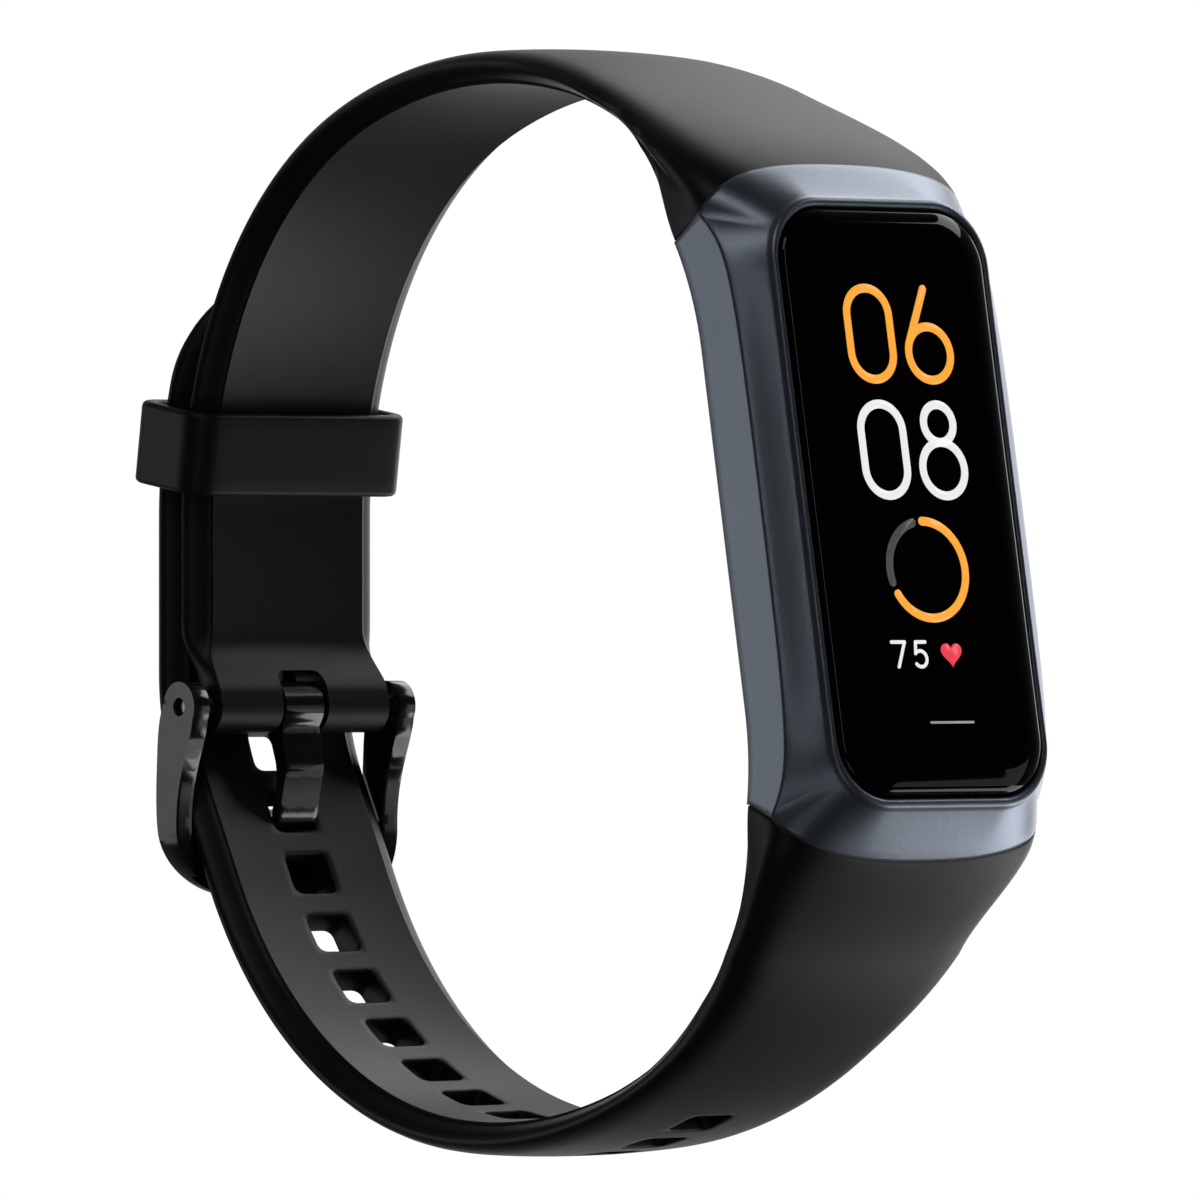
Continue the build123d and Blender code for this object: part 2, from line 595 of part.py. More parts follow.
# the tongue turns on the spring bar, waves down inside the strap and hooks out through a hole;
# the hook is an arc about the pin, so that it slides out of the hole as the tongue swings in
hook_low_r, hook_high_r = HOOK_R + HOOK_T / 2, HOOK_R - HOOK_T / 2
with BuildPart() as tongue:
    with BuildSketch(LOOP):
        with BuildLine():
            low = JernArc((PIN_X, PIN_Z - hook_low_r), (-1, 0), hook_low_r, -HOOK_SWEEP)
            high = JernArc((PIN_X, PIN_Z - hook_high_r), (-1, 0), hook_high_r, -HOOK_SWEEP)
            Line(low @ 1, high @ 1)
            Spline(
                high @ 0,
                (PIN_X + 0.15, PIN_Z - 5.85),
                (PIN_X + 0.45, PIN_Z - 4.85),
                (PIN_X + 0.4, PIN_Z - 3.4),
                (PIN_X - 0.1, PIN_Z - 2.0),
                (PIN_X - 0.9, PIN_Z - 1.2),
            )
            Line((PIN_X - 0.9, PIN_Z - 1.2), pin)
            Line(pin, (PIN_X + 1.45, PIN_Z - 0.4))
            Spline(
                (PIN_X + 1.45, PIN_Z - 0.4),
                (PIN_X + 1.05, PIN_Z - 1.75),
                (PIN_X + 1.45, PIN_Z - 3.45),
                (PIN_X + 1.1, PIN_Z - 5.1),
                (PIN_X + 0.75, PIN_Z - 6.5),
                low @ 0,
            )
        make_face()
        with Locations(pin):
            Circle(EYE_R)
            Circle(TUBE_R + RUNNING, mode=Mode.SUBTRACT)
    extrude(amount=TONGUE_WIDTH / 2, both=True)

# spring bar: a tube held in the strap's eye, two sprung tips that stand in the buckle's arms
shoulder_end = TUBE_HALF - TUBE_LIP_T - 0.02
with BuildPart() as spring_bar_tube:
    with BuildSketch(LOOP):
        with Locations(pin):
            Circle(TUBE_R)
            Circle(TUBE_MOUTH_R, mode=Mode.SUBTRACT)
    extrude(amount=TUBE_HALF, both=True)
    with BuildSketch(LOOP):
        with Locations(pin):
            Circle(TUBE_BORE_R)
    extrude(amount=TUBE_HALF - TUBE_LIP_T, both=True, mode=Mode.SUBTRACT)

bar_tips = {}
for side, name in ((-1, "spring_bar_tip_near"), (1, "spring_bar_tip_far")):
    with BuildPart() as bar_tip:
        with BuildSketch(LOOP.offset(-side * shoulder_end)):
            with Locations(pin):
                Circle(TIP_R)
        extrude(amount=-side * (TIP_END - shoulder_end))
        chamfer(bar_tip.edges().sort_by(Axis.Y)[0 if side < 0 else -1], 0.15)
        with BuildSketch(LOOP.offset(-side * (shoulder_end - SHOULDER_LENGTH))):
            with Locations(pin):
                Circle(SHOULDER_R)
        extrude(amount=-side * SHOULDER_LENGTH)
    bar_tips[name] = bar_tip.part

# the coil spring between the tips, as a plain sleeve at its pressed length
spring_half = shoulder_end - SHOULDER_LENGTH - TIP_TRAVEL - RUNNING
with BuildPart() as bar_spring:
    with BuildSketch(LOOP):
        with Locations(pin):
            Circle(SPRING_R)
            Circle(SPRING_BORE_R, mode=Mode.SUBTRACT)
    extrude(amount=spring_half, both=True)

nodes = {
    "module_frame": module_frame,
    "cover_glass": cover_glass,
    "glass_adhesive": glass_adhesive,
    "display_panel": display_panel,
    "display_flex": display_flex,
    "main_board": main_board,
    "board_chips": board_chips,
    "antenna": antenna,
    "battery": battery,
    "battery_tape": battery_tape,
    "motor_case": motor_case,
    "motor_shaft": motor_shaft,
    "motor_weight": motor_weight,
    "rear_cover": rear_cover,
    "rear_gasket": rear_gasket,
    "sensor_window": sensor_window,
    "sensor_board": sensor_board,
    "sensor_lamps": sensor_lamps,
    "photodiodes": photodiodes,
    "light_wall": light_wall,
    "charge_contacts": charge_contacts,
    "charge_magnets": charge_magnets,
    "lug_pins": lug_pins,
    "upper_strap": upper_strap,
    "lower_strap": lower_strap,
    "keeper_loop": keeper_loop,
    "buckle_frame": buckle_frame,
    "buckle_tongue": tongue,
    "spring_bar_tube": spring_bar_tube,
    "bar_spring": bar_spring,
}
for name, builder in nodes.items():
    save(builder.part, name)
for name, part in bar_tips.items():
    save(part, name)
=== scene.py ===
"""Fitness tracker band: the visible surfaces, materials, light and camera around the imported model.

Shapes are worked out in millimetres in the row frame (+X display side, +Y along the wrist, +Z up)
and written to the meshes in metres. On the display module, m runs towards 12 o'clock and n
outwards through the glass.
"""

import json
from math import atan2, cos, pi, radians, sin, sqrt

import bmesh
import bpy
import numpy as np
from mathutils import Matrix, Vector


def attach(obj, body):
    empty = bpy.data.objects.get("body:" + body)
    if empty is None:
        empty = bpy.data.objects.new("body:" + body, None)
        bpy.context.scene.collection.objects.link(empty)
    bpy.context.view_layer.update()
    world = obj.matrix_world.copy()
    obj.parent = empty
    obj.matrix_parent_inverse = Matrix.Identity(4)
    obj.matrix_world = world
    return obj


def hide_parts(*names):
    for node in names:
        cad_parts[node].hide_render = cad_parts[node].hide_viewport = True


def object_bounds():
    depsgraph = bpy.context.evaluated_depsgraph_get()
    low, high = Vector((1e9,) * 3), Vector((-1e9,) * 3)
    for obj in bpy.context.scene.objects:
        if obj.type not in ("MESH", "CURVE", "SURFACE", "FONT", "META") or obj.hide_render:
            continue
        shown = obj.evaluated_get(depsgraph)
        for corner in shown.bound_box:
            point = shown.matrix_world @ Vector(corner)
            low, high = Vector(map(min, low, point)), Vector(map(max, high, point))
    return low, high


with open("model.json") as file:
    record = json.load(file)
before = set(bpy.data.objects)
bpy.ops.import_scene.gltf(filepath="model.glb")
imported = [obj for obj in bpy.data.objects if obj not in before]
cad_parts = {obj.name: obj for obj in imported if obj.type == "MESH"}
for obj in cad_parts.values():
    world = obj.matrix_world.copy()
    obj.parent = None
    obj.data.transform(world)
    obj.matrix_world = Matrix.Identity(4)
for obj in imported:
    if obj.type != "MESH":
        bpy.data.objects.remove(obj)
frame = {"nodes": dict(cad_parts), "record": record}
cad_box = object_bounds()

MM = 0.001

# ---- driving dimensions, in millimetres ------------------------------------------------------
MODULE_TILT = radians(10.7)
MODULE_X, MODULE_Z = 24.84, 4.67
WALL_Y = 9.6  # the module's upright side walls
LIP_M, LIP_Y, LIP_R, LIP_FOOT_N = 17.4, 7.95, 3.8, 5.05
# half length, half width and corner radius of what lies under the glass
WINDOW, CAVITY, COVER = (15.4, 6.3, 1.5), (15.0, 7.5, 2.0), (15.6, 8.1, 2.4)
CAVITY_TOP_N, CAVITY_BACK_N, BACK_RIM = 4.2, 1.3, 0.08
POCKET_M, POCKET_Y, POCKET_R, LEDGE_N = 16.75, 7.5, 3.3, 4.75
GLASS_M, GLASS_Y, GLASS_R = 16.65, 7.4, 3.2
GLASS_BACK_N, GLASS_EDGE_N, GLASS_TOP_N, GLASS_CURVE = 4.9, 5.25, 6.05, 1.9
EDGE_END = (17.1, 1.4)  # m and n where the side wall's edge line meets the strap
BACK_END_M, BACK_BULGE = 16.0, 1.2  # the strap joint on the wrist side
WALL_FOOT = ((0.0, 0.45), (0.25, 0.12))  # inset and rise of the rounding at the foot of the side wall
WALL_FADE = 0.8  # share of the joint over which the strap's wall leaves the module's shape
PLUG_SCALE, PLUG_DEPTH = 0.94, 0.3  # of the strap's end hidden inside the module

STRAP_T, STRAP_HALF = 2.1, 7.0
FLARE_X = (0.0, 24.0)  # the straps widen to the module between these
LOWER_FLARE_Z = (-11.5, -25.0)  # and the lower one has narrowed again between these
UPPER_ARCS = ((18.0, 55.3), (32.4, 45.0), (22.5, 38.0), (25.8, 31.0))
LOWER_ARCS = ((16.6, 61.7), (35.2, 43.0), (25.6, 58.0))
UPPER_START_M, LOWER_START_M = 9.45, -10.9
LEAN, LEAN_TURN_R = 28.0, 12.0
STRAP_GAP = 0.15
LAP_SWEEP = 30.0
HOLE_PITCH, HOLE_HALF_Y, HOLE_HALF_S, HOLE_R = 4.1, 1.53, 1.28, 0.5
HOLES_ABOVE, HOLES_BELOW, TONGUE_HOLE_DROP = 4, 11, 6.2
PIN_X, PIN_Z = -26.75, -6.15
LUG_R, LUG_HALF, SLOT_HALF = 1.6, 6.6, 1.7
UPPER_JOINT_S, LOWER_JOINT_S = 19.5, 13.7  # where each strap has left the module's shape
TAIL_RISE = 4.6  # the upper strap's end swells over this height above the pin
TAIL_ROUND = 0.6  # and from this height above the pin it is round about it

PATCH = 12  # rings and columns across the patch of strap that holds one hole
RING_STEP = HOLE_PITCH / PATCH
TILT_COS, TILT_SIN = cos(MODULE_TILT), sin(MODULE_TILT)


# ---- small geometry tools --------------------------------------------------------------------
def module_point(m, y, n):
    """Row-frame millimetres of a module point; m, y and n may be arrays."""
    m, y, n = np.broadcast_arrays(np.asarray(m, float), y, n)
    x = MODULE_X + n * TILT_COS - m * TILT_SIN
    z = MODULE_Z + n * TILT_SIN + m * TILT_COS
    return np.stack([x, y, z], -1)


def spline(control, count=81):
    """A clamped cubic B-spline through the first and last of its control points."""
    control = np.asarray(control, float)
    last = len(control) - 1
    knots = np.concatenate([[0] * 3, np.arange(last - 1), [last - 2] * 3])
    t = np.linspace(0, last - 2, count)
    span = np.clip(np.floor(t).astype(int), 0, last - 3) + 3
    points = [control[span - 3 + i].copy() for i in range(4)]
    for level in range(1, 4):
        for i in range(3, level - 1, -1):
            low = knots[span - 3 + i]
            high = knots[span + 1 + i - level]
            a = ((t - low) / (high - low))[:, None]
            points[i] = (1 - a) * points[i - 1] + a * points[i]
    return points[3]


def resample(points, count):
    """Points evenly spaced along a polyline."""
    reach = np.concatenate([[0], np.cumsum(np.linalg.norm(np.diff(points, axis=0), axis=1))])
    at = np.linspace(0, reach[-1], count)
    return np.stack([np.interp(at, reach, points[:, k]) for k in range(points.shape[1])], -1)


def smooth(t):
    """An even step from 0 to 1."""
    t = np.clip(t, 0, 1)
    return t * t * (3 - 2 * t)


def chain(start, heading, moves):
    """A tangent chain of arcs and straights: a function from length to (point, heading).

    A move is (radius, degrees), positive to the left, or (None, length).
    """
    parts, reach = [], 0.0
    point, heading = np.array(start, float), radians(heading)
    for radius, amount in moves:
        length = amount if radius is None else radius * radians(abs(amount))
        parts.append((reach, point, heading, radius, np.sign(amount)))
        point, heading = advance(point, heading, radius, np.sign(amount), length)
        reach += length

    def walk(s):
        start_s, from_point, from_heading, radius, side = [p for p in parts if p[0] <= max(s, 0)][-1]
        return advance(from_point, from_heading, radius, side, s - start_s)

    walk.length = reach
    return walk


def advance(point, heading, radius, side, length):
    """The point and heading after a length along a straight or an arc."""
    if radius is None:
        return point + length * np.array([cos(heading), sin(heading)]), heading
    turned = heading + side * length / radius
    normal = np.array([-sin(heading), cos(heading)]) * side
    normal_after = np.array([-sin(turned), cos(turned)]) * side
    return point + radius * (normal - normal_after), turned


def build(name, verts, faces, material, body, replaces=()):
    """A smooth-shaded piece from millimetre points, riding on its body."""
    mesh = bpy.data.meshes.new(name)
    verts = np.asarray(verts, float) * MM
    mesh.from_pydata(verts.tolist(), [], [tuple(f) for f in faces])
    mesh.validate()
    tidy = bmesh.new()
    tidy.from_mesh(mesh)
    bmesh.ops.recalc_face_normals(tidy, faces=tidy.faces)
    tidy.to_mesh(mesh)
    tidy.free()
    mesh.polygons.foreach_set("use_smooth", [True] * len(mesh.polygons))
    piece = bpy.data.objects.new(name, mesh)
    bpy.context.scene.collection.objects.link(piece)
    mesh.materials.append(material)
    return settle(piece, body, replaces)


def settle(piece, body, replaces=()):
    """Let a piece ride on its body, in place of the CAD nodes that it replaces."""
    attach(piece, body)
    if replaces:
        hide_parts(*replaces)
    return piece


def ring_faces(rings, columns, closed=True):
    """Quads between rings of points, each ring closed."""
    faces = []
    for r in range(rings if closed else rings - 1):
        a, b = r * columns, (r + 1) % rings * columns
        faces += [(a + c, a + (c + 1) % columns, b + (c + 1) % columns, b + c) for c in range(columns)]
    return faces


def caps(rings, columns):
    """Faces that close the first and the last ring."""
    return [tuple(range(columns)), tuple(range((rings - 1) * columns, rings * columns))]


def weighted(piece):
    """Shade the large faces flat and let the bevels carry the turn."""
    modifier = piece.modifiers.new("weighted", "WEIGHTED_NORMAL")
    modifier.keep_sharp = True
    modifier.weight = 50


# ---- materials -------------------------------------------------------------------------------
def shader(name, color, roughness, metallic=0.0, grain=0.0, grain_size=0.15, bump=0.0, tint=0.12, **sockets):
    """A principled material: colour and roughness vary with a fine grain and a broad mottle."""
    material = bpy.data.materials.new(name)
    material.use_nodes = True
    nodes, links = material.node_tree.nodes, material.node_tree.links
    principled = nodes["Principled BSDF"]
    principled.inputs["Metallic"].default_value = metallic
    for socket, value in sockets.items():
        principled.inputs[socket.replace("_", " ")].default_value = value
    place = nodes.new("ShaderNodeTexCoord")
    fine = nodes.new("ShaderNodeTexNoise")
    fine.inputs["Scale"].default_value = 1 / (grain_size * MM)
    fine.inputs["Detail"].default_value = 3.0
    broad = nodes.new("ShaderNodeTexNoise")
    broad.inputs["Scale"].default_value = 180.0
    broad.inputs["Detail"].default_value = 4.0
    for noise in (fine, broad):
        links.new(place.outputs["Object"], noise.inputs["Vector"])
    blend = nodes.new("ShaderNodeMix")
    blend.inputs["Factor"].default_value = 0.35
    links.new(fine.outputs["Fac"], blend.inputs["A"])
    links.new(broad.outputs["Fac"], blend.inputs["B"])
    ramp = nodes.new("ShaderNodeValToRGB")
    ramp.color_ramp.elements[0].position = 0.3
    ramp.color_ramp.elements[1].position = 0.7
    ramp.color_ramp.elements[0].color = [c * (1 - tint) for c in color] + [1]
    ramp.color_ramp.elements[1].color = [c * (1 + tint) for c in color] + [1]
    links.new(blend.outputs["Result"], ramp.inputs["Fac"])
    links.new(ramp.outputs["Color"], principled.inputs["Base Color"])
    rough = nodes.new("ShaderNodeMapRange")
    rough.inputs["To Min"].default_value = max(roughness - grain, 0.02)
    rough.inputs["To Max"].default_value = roughness + grain
    links.new(blend.outputs["Result"], rough.inputs["Value"])
    links.new(rough.outputs["Result"], principled.inputs["Roughness"])
    if bump:
        relief = nodes.new("ShaderNodeBump")
        relief.inputs["Strength"].default_value = bump
        relief.inputs["Distance"].default_value = 0.02 * MM
        links.new(fine.outputs["Fac"], relief.inputs["Height"])
        links.new(relief.outputs["Normal"], principled.inputs["Normal"])
    return material


GLOW_BASE = 0.2  # how bright a lit part is when it is off


def glow(name, color):
    """A lit part of the display: its brightness ripples slightly, like a grid of pixels."""
    material = shader(name, [c * GLOW_BASE for c in color], 0.3)
    nodes, links = material.node_tree.nodes, material.node_tree.links
    principled = nodes["Principled BSDF"]
    ramp = nodes.new("ShaderNodeValToRGB")
    ramp.color_ramp.elements[0].color = [c * 0.92 for c in color] + [1]
    ramp.color_ramp.elements[1].color = list(color) + [1]
    links.new(nodes["Noise Texture"].outputs["Fac"], ramp.inputs["Fac"])
    links.new(ramp.outputs["Color"], principled.inputs["Emission Color"])
    principled.inputs["Emission Strength"].default_value = 1.0
    return material


SLATE = shader("slate_metal", (0.33, 0.375, 0.45), 0.38, 0.9, 0.06, 0.11, 0.35, 0.16)
SILICONE = shader("strap_silicone", (0.0085, 0.0087, 0.0095), 0.45, 0.0, 0.04, 0.25, 0.1)
KEEPER = shader("keeper_silicone", (0.0085, 0.0087, 0.009), 0.45, 0.0, 0.04, 0.22, 0.12)
GLASS = shader("cover_glass", (0.002, 0.002, 0.0022), 0.04, 0.0, 0.01, 0.8, Specular_IOR_Level=0.35)
BLACK_METAL = shader("black_metal", (0.1, 0.1, 0.105), 0.15, 0.85, 0.03, 0.3, 0.03)
OTHERS = {
    "sealant": shader("sealant", (0.02, 0.02, 0.022), 0.5, 0.0, 0.05, 0.3, 0.2),
    "display": shader("display", (0.006, 0.006, 0.009), 0.12, 0.0, 0.02, 0.1),
    "flex_circuit": shader("flex_circuit", (0.32, 0.13, 0.03), 0.4, 0.0, 0.06, 0.3, 0.1),
    "circuit_board": shader("circuit_board", (0.01, 0.09, 0.04), 0.38, 0.0, 0.06, 0.4, 0.2),
    "chips": shader("chips", (0.016, 0.016, 0.018), 0.5, 0.0, 0.06, 0.12, 0.2),
    "battery_foil": shader("battery_foil", (0.55, 0.56, 0.58), 0.34, 0.9, 0.08, 0.5, 0.3),
    "steel": shader("steel", (0.5, 0.5, 0.51), 0.25, 1.0, 0.05, 0.2, 0.05),
    "tungsten": shader("tungsten", (0.3, 0.3, 0.31), 0.4, 1.0, 0.06, 0.15, 0.2),
    "black_plastic": shader("black_plastic", (0.012, 0.012, 0.013), 0.42, 0.0, 0.05, 0.18, 0.3),
    "gasket_rubber": shader("gasket_rubber", (0.03, 0.03, 0.03), 0.7, 0.0, 0.06, 0.2, 0.3),
    "sensor_glass": shader("sensor_glass", (0.004, 0.004, 0.005), 0.08, 0.0, 0.02, 0.5, Coat_Weight=0.4),
    "lamp_dies": shader("lamp_dies", (0.1, 0.6, 0.2), 0.3, 0.0, 0.05, 0.2),
    "gold": shader("gold", (0.9, 0.62, 0.25), 0.24, 1.0, 0.05, 0.15, 0.08),
    "slate_metal": SLATE,
    "cover_glass": GLASS,
    "strap_silicone": SILICONE,
    "keeper_silicone": KEEPER,
    "black_metal": BLACK_METAL,
}


def dress_frame():
    """Give every carried-over CAD node the material of its slot in the record."""
    slot_of = {}
    for entry in frame["record"]["materials"]:
        for node in entry.get("nodes", []):
            slot_of[node] = entry["slot"]
    for name, piece in frame["nodes"].items():
        slot = slot_of.get(name)
        if slot is None and piece.data.materials:
            slot = piece.data.materials[0].name.split(".")[0]
        chosen = OTHERS.get(slot, OTHERS["black_plastic"])
        piece.data.materials.clear()
        piece.data.materials.append(chosen)


# ---- the strap's lines -----------------------------------------------------------------------
def module_xz(m, n):
    return (MODULE_X + n * TILT_COS - m * TILT_SIN, MODULE_Z + n * TILT_SIN + m * TILT_COS)


upper_line = chain(
    module_xz(UPPER_START_M, 0),
    90 + np.degrees(MODULE_TILT),
    [*UPPER_ARCS, (None, 20.0)],
)
STRAIGHT_TOP = upper_line(sum(r * radians(d) for r, d in UPPER_ARCS))[0]

lower_bend = chain(
    module_xz(LOWER_START_M, 0), np.degrees(MODULE_TILT) - 90, [(r, -d) for r, d in LOWER_ARCS]
)
LEAN_START = lower_bend(lower_bend.length)[0]
LAP_X = STRAIGHT_TOP[0] - STRAP_T - STRAP_GAP
LEAN_DX = LEAN_START[0] - LAP_X - LEAN_TURN_R * (1 - cos(radians(LEAN)))
LEAN_LENGTH = LEAN_DX / sin(radians(LEAN))
LEAN_TOP_Z = LEAN_START[1] + LEAN_DX / np.tan(radians(LEAN)) + LEAN_TURN_R * sin(radians(LEAN))
lower_line = chain(
    module_xz(LOWER_START_M, 0),
    np.degrees(MODULE_TILT) - 90,
    [
        *[(r, -d) for r, d in LOWER_ARCS],
        (None, LEAN_LENGTH),
        (LEAN_TURN_R, -LEAN),
        (None, STRAIGHT_TOP[1] - LEAN_TOP_Z),
        (UPPER_ARCS[-1][0] + STRAP_T + STRAP_GAP, -LAP_SWEEP),
    ],
)

# half width of the inner face on the display side, against height above or below the loop's middle
INNER_HALF_UPPER = ((20.4, 9.1), (23.3, 8.3), (25.7, 7.3), (27.4, 6.2), (29.0, 5.6))
INNER_HALF_LOWER = ((12.0, 9.2), (17.0, 8.3), (19.5, 7.95), (22.4, 7.2), (26.4, 5.8), (27.8, 5.6))
# outer half section as (share of the half width, height): centre, crown, ridge, side
SECTION = ((0.0, 2.1), (0.36, 2.1), (0.7, 2.1), (0.975, 2.05), (1.055, 1.0))
BEVEL = 0.14
CROWN, DISH = 0.3, 0.16  # fall of the outer face to its edges, hollow of the inner face
DISH_HALF = INNER_HALF = 5.6  # of the plain strap's inner face
CENTRE_Y = np.linspace(0, 2.6, PATCH // 2 + 1)  # columns that the holes are cut in


def strap_frame(line, s, side):
    """Point, tangent and outward direction, as 3-D vectors, at a length along a strap."""
    point, heading = line(s)
    outward = heading - side * pi / 2
    return (
        np.array([point[0], 0, point[1]]),
        np.array([cos(heading), 0, sin(heading)]),
        np.array([cos(outward), 0, sin(outward)]),
    )


def half_width(point):
    """The strap's half width: plain behind, and widening towards the module."""
    share = smooth((point[0] - FLARE_X[0]) / (FLARE_X[1] - FLARE_X[0]))
    width = STRAP_HALF + (WALL_Y - STRAP_HALF) * share
    if point[2] < 0:
        share = smooth((point[2] - LOWER_FLARE_Z[0]) / (LOWER_FLARE_Z[1] - LOWER_FLARE_Z[0]))
        width = min(width, WALL_Y + (STRAP_HALF - WALL_Y) * share)
    return width


def crown(y, half=STRAP_HALF):
    """How far the outer face has fallen at Y."""
    return CROWN * (np.abs(y) / half) ** 2


def dish(y):
    """How far the inner face is hollowed at Y."""
    return DISH * np.clip(1 - (np.abs(y) / DISH_HALF) ** 2, 0, None)


def inner_half(point, table):
    """The inner face's half width, from the table on the display side."""
    heights, widths = zip(*table)
    return np.interp(abs(point[2]), heights, widths) if point[0] > 0 else widths[-1]


def section_controls(base, outward, width, inner, thick=1.0):
    """Control points of the outer half section on a plain stretch, centre to lower edge."""
    ys = [share * width for share, _ in SECTION] + [inner + 0.6 * BEVEL]
    heights = [height * thick for _, height in SECTION] + [BEVEL]
    return np.array([base + outward * h + np.array([0, y, 0]) for y, h in zip(ys, heights)])


def half_section(controls):
    """Outer half section: centre columns at fixed Y, then even steps to the edge."""
    dense = spline(controls, 161)
    widest = int(np.argmax(dense[:, 1]))
    rising = dense[: widest + 1]
    centre = np.stack([np.interp(CENTRE_Y, rising[:, 1], rising[:, k]) for k in range(3)], -1)
    past = dense[:, 1] > CENTRE_Y[-1]
    rest = dense[past] if widest == len(dense) - 1 else dense[np.argmax(past) :]
    rest = np.concatenate([centre[-1:], rest])
    return np.concatenate([centre, resample(rest, 21)[1:]])


def mirrored(half):
    """Whole row from a half that starts at Y = 0."""
    other = half[:0:-1] * np.array([1, -1, 1])
    return np.concatenate([other, half])


WALL_STEPS = 3


def ring(outer_half, inner_points_half, upright=None, share=0.0):
    """One closed ring: outer row from -Y to +Y, wall, inner row back, wall.

    The wall is straight, or moved by share towards the upright points.
    """
    outer = mirrored(outer_half)
    inner = mirrored(inner_points_half)[::-1]
    steps = np.linspace(0, 1, WALL_STEPS + 1)[1:-1, None]
    wall = outer_half[-1] + (inner_points_half[-1] - outer_half[-1]) * steps
    if upright is not None:
        wall = wall + (upright - wall) * share
    return np.concatenate([outer, wall, inner, wall[::-1] * np.array([1, -1, 1])])


def inner_row(at_y, inner):
    """Inner half row: at_y(y) gives the point on the inner face."""
    ys = np.concatenate([CENTRE_Y, np.linspace(CENTRE_Y[-1], inner - 0.25, 6)[1:], [inner - 0.06, inner]])
    return np.array([at_y(y) for y in ys])


def crowned(half, outward, share=1.0):
    """The outer half section with its edges let down; the lower edge stays."""
    height = (half - half[-1]) @ outward
    keep = np.clip(height / height.max(), 0, 1)
    return half - outward * (crown(half[:, 1], half[:, 1].max()) * keep * share)[:, None]


def plain_ring(line, s, side, table, width=None, inner=None, thick=1.0, hollow=1.0):
    """One ring of a strap at a length along it."""
    base, _, outward = strap_frame(line, s, side)
    width = half_width(base) if width is None else width
    inner = inner_half(base, table) if inner is None else inner
    outer = crowned(half_section(section_controls(base, outward, width, inner, thick)), outward)
    return ring(
        outer, inner_row(lambda y: base + np.array([0, y, 0]) + outward * dish(y) * hollow, inner)
    )


# outer half section at the strap's joint with the module, as (m, Y, n)
JOINT = ((19.9, 0.0, 2.4), (19.9, 2.6, 2.4), (19.65, 5.4, 2.5), (18.95, 8.2, 2.65), (17.9, 9.45, 2.1))


def joint_controls(side):
    """Control points of the outer half section where a strap meets the module."""
    rows = [*JOINT, (EDGE_END[0], WALL_Y, EDGE_END[1])]
    return np.array([module_point(side * m, y, n) for m, y, n in rows])


def back_m(y):
    """Where a strap meets the module on the wrist side, at Y."""
    return BACK_END_M + BACK_BULGE * (1 - (abs(y) / WALL_Y) ** 2)


def joint_rings(line, side, start_m, first_r, end_s, table, rings):
    """Rings from the module's end to the plain strap, each control point on its own smooth line."""
    base, tangent, outward = strap_frame(line, end_s, side)
    inner_end = inner_half(base, table)
    start = joint_controls(side)
    end = section_controls(base, outward, half_width(base), inner_end)
    lip = [(LIP_M, 0), (LIP_M, 2.3), (LIP_M, 4.0), (16.6, 6.4), (15.6, 7.4)]
    roots = np.array([module_point(side * m, y, LIP_FOOT_N) for m, y in lip])
    leave = start[:5] - roots
    edge_back = module_point(side * (EDGE_END[0] - 1.3), WALL_Y, EDGE_END[1] + 1.5)
    leave = np.concatenate([leave, [start[5] - edge_back]])
    leave /= np.linalg.norm(leave, axis=1)[:, None]
    reach = np.linalg.norm(end - start, axis=1)[:, None]
    first = start + leave * reach * 0.3
    second = end - tangent * reach * 0.36
    ys = np.linspace(0, WALL_Y, 25)
    start_s = [first_r * np.arcsin((back_m(y) - start_m) / first_r) for y in ys]
    result = []
    for t in np.linspace(0, 1, rings):
        b = ((1 - t) ** 3, 3 * t * (1 - t) ** 2, 3 * t * t * (1 - t), t**3)
        controls = b[0] * start + b[1] * first + b[2] * second + b[3] * end

        def on_inner(y, rise=0.0):
            s0 = np.interp(y, ys, start_s)
            here, _, out = strap_frame(line, s0 + (end_s - s0) * t, side)
            return here + np.array([0, y, 0]) + out * (dish(y) * smooth(t) + rise)

        inner = inner_half(on_inner(8.5), table) if t < 1 else inner_end
        outward_here = strap_frame(line, end_s * t, side)[2]
        outer = crowned(half_section(controls), outward_here, smooth(t))
        edge_y = outer[-1][1]
        upright = np.array([on_inner(edge_y - inset, rise) for inset, rise in WALL_FOOT])
        result.append(ring(outer, inner_row(on_inner, inner), upright, 1 - smooth(t / WALL_FADE)))
    # a plug inside the module's end, so that no gap shows at the joint
    middle = result[0].mean(axis=0)
    along = strap_frame(line, first_r * np.arcsin((BACK_END_M - start_m) / first_r), side)[1]
    plug = middle + (result[0] - middle) * PLUG_SCALE - along * PLUG_DEPTH
    return [plug, *result]


HALF_OUTER, HALF_INNER = len(CENTRE_Y) + 20, len(CENTRE_Y) + 7  # columns in half an outer and inner row


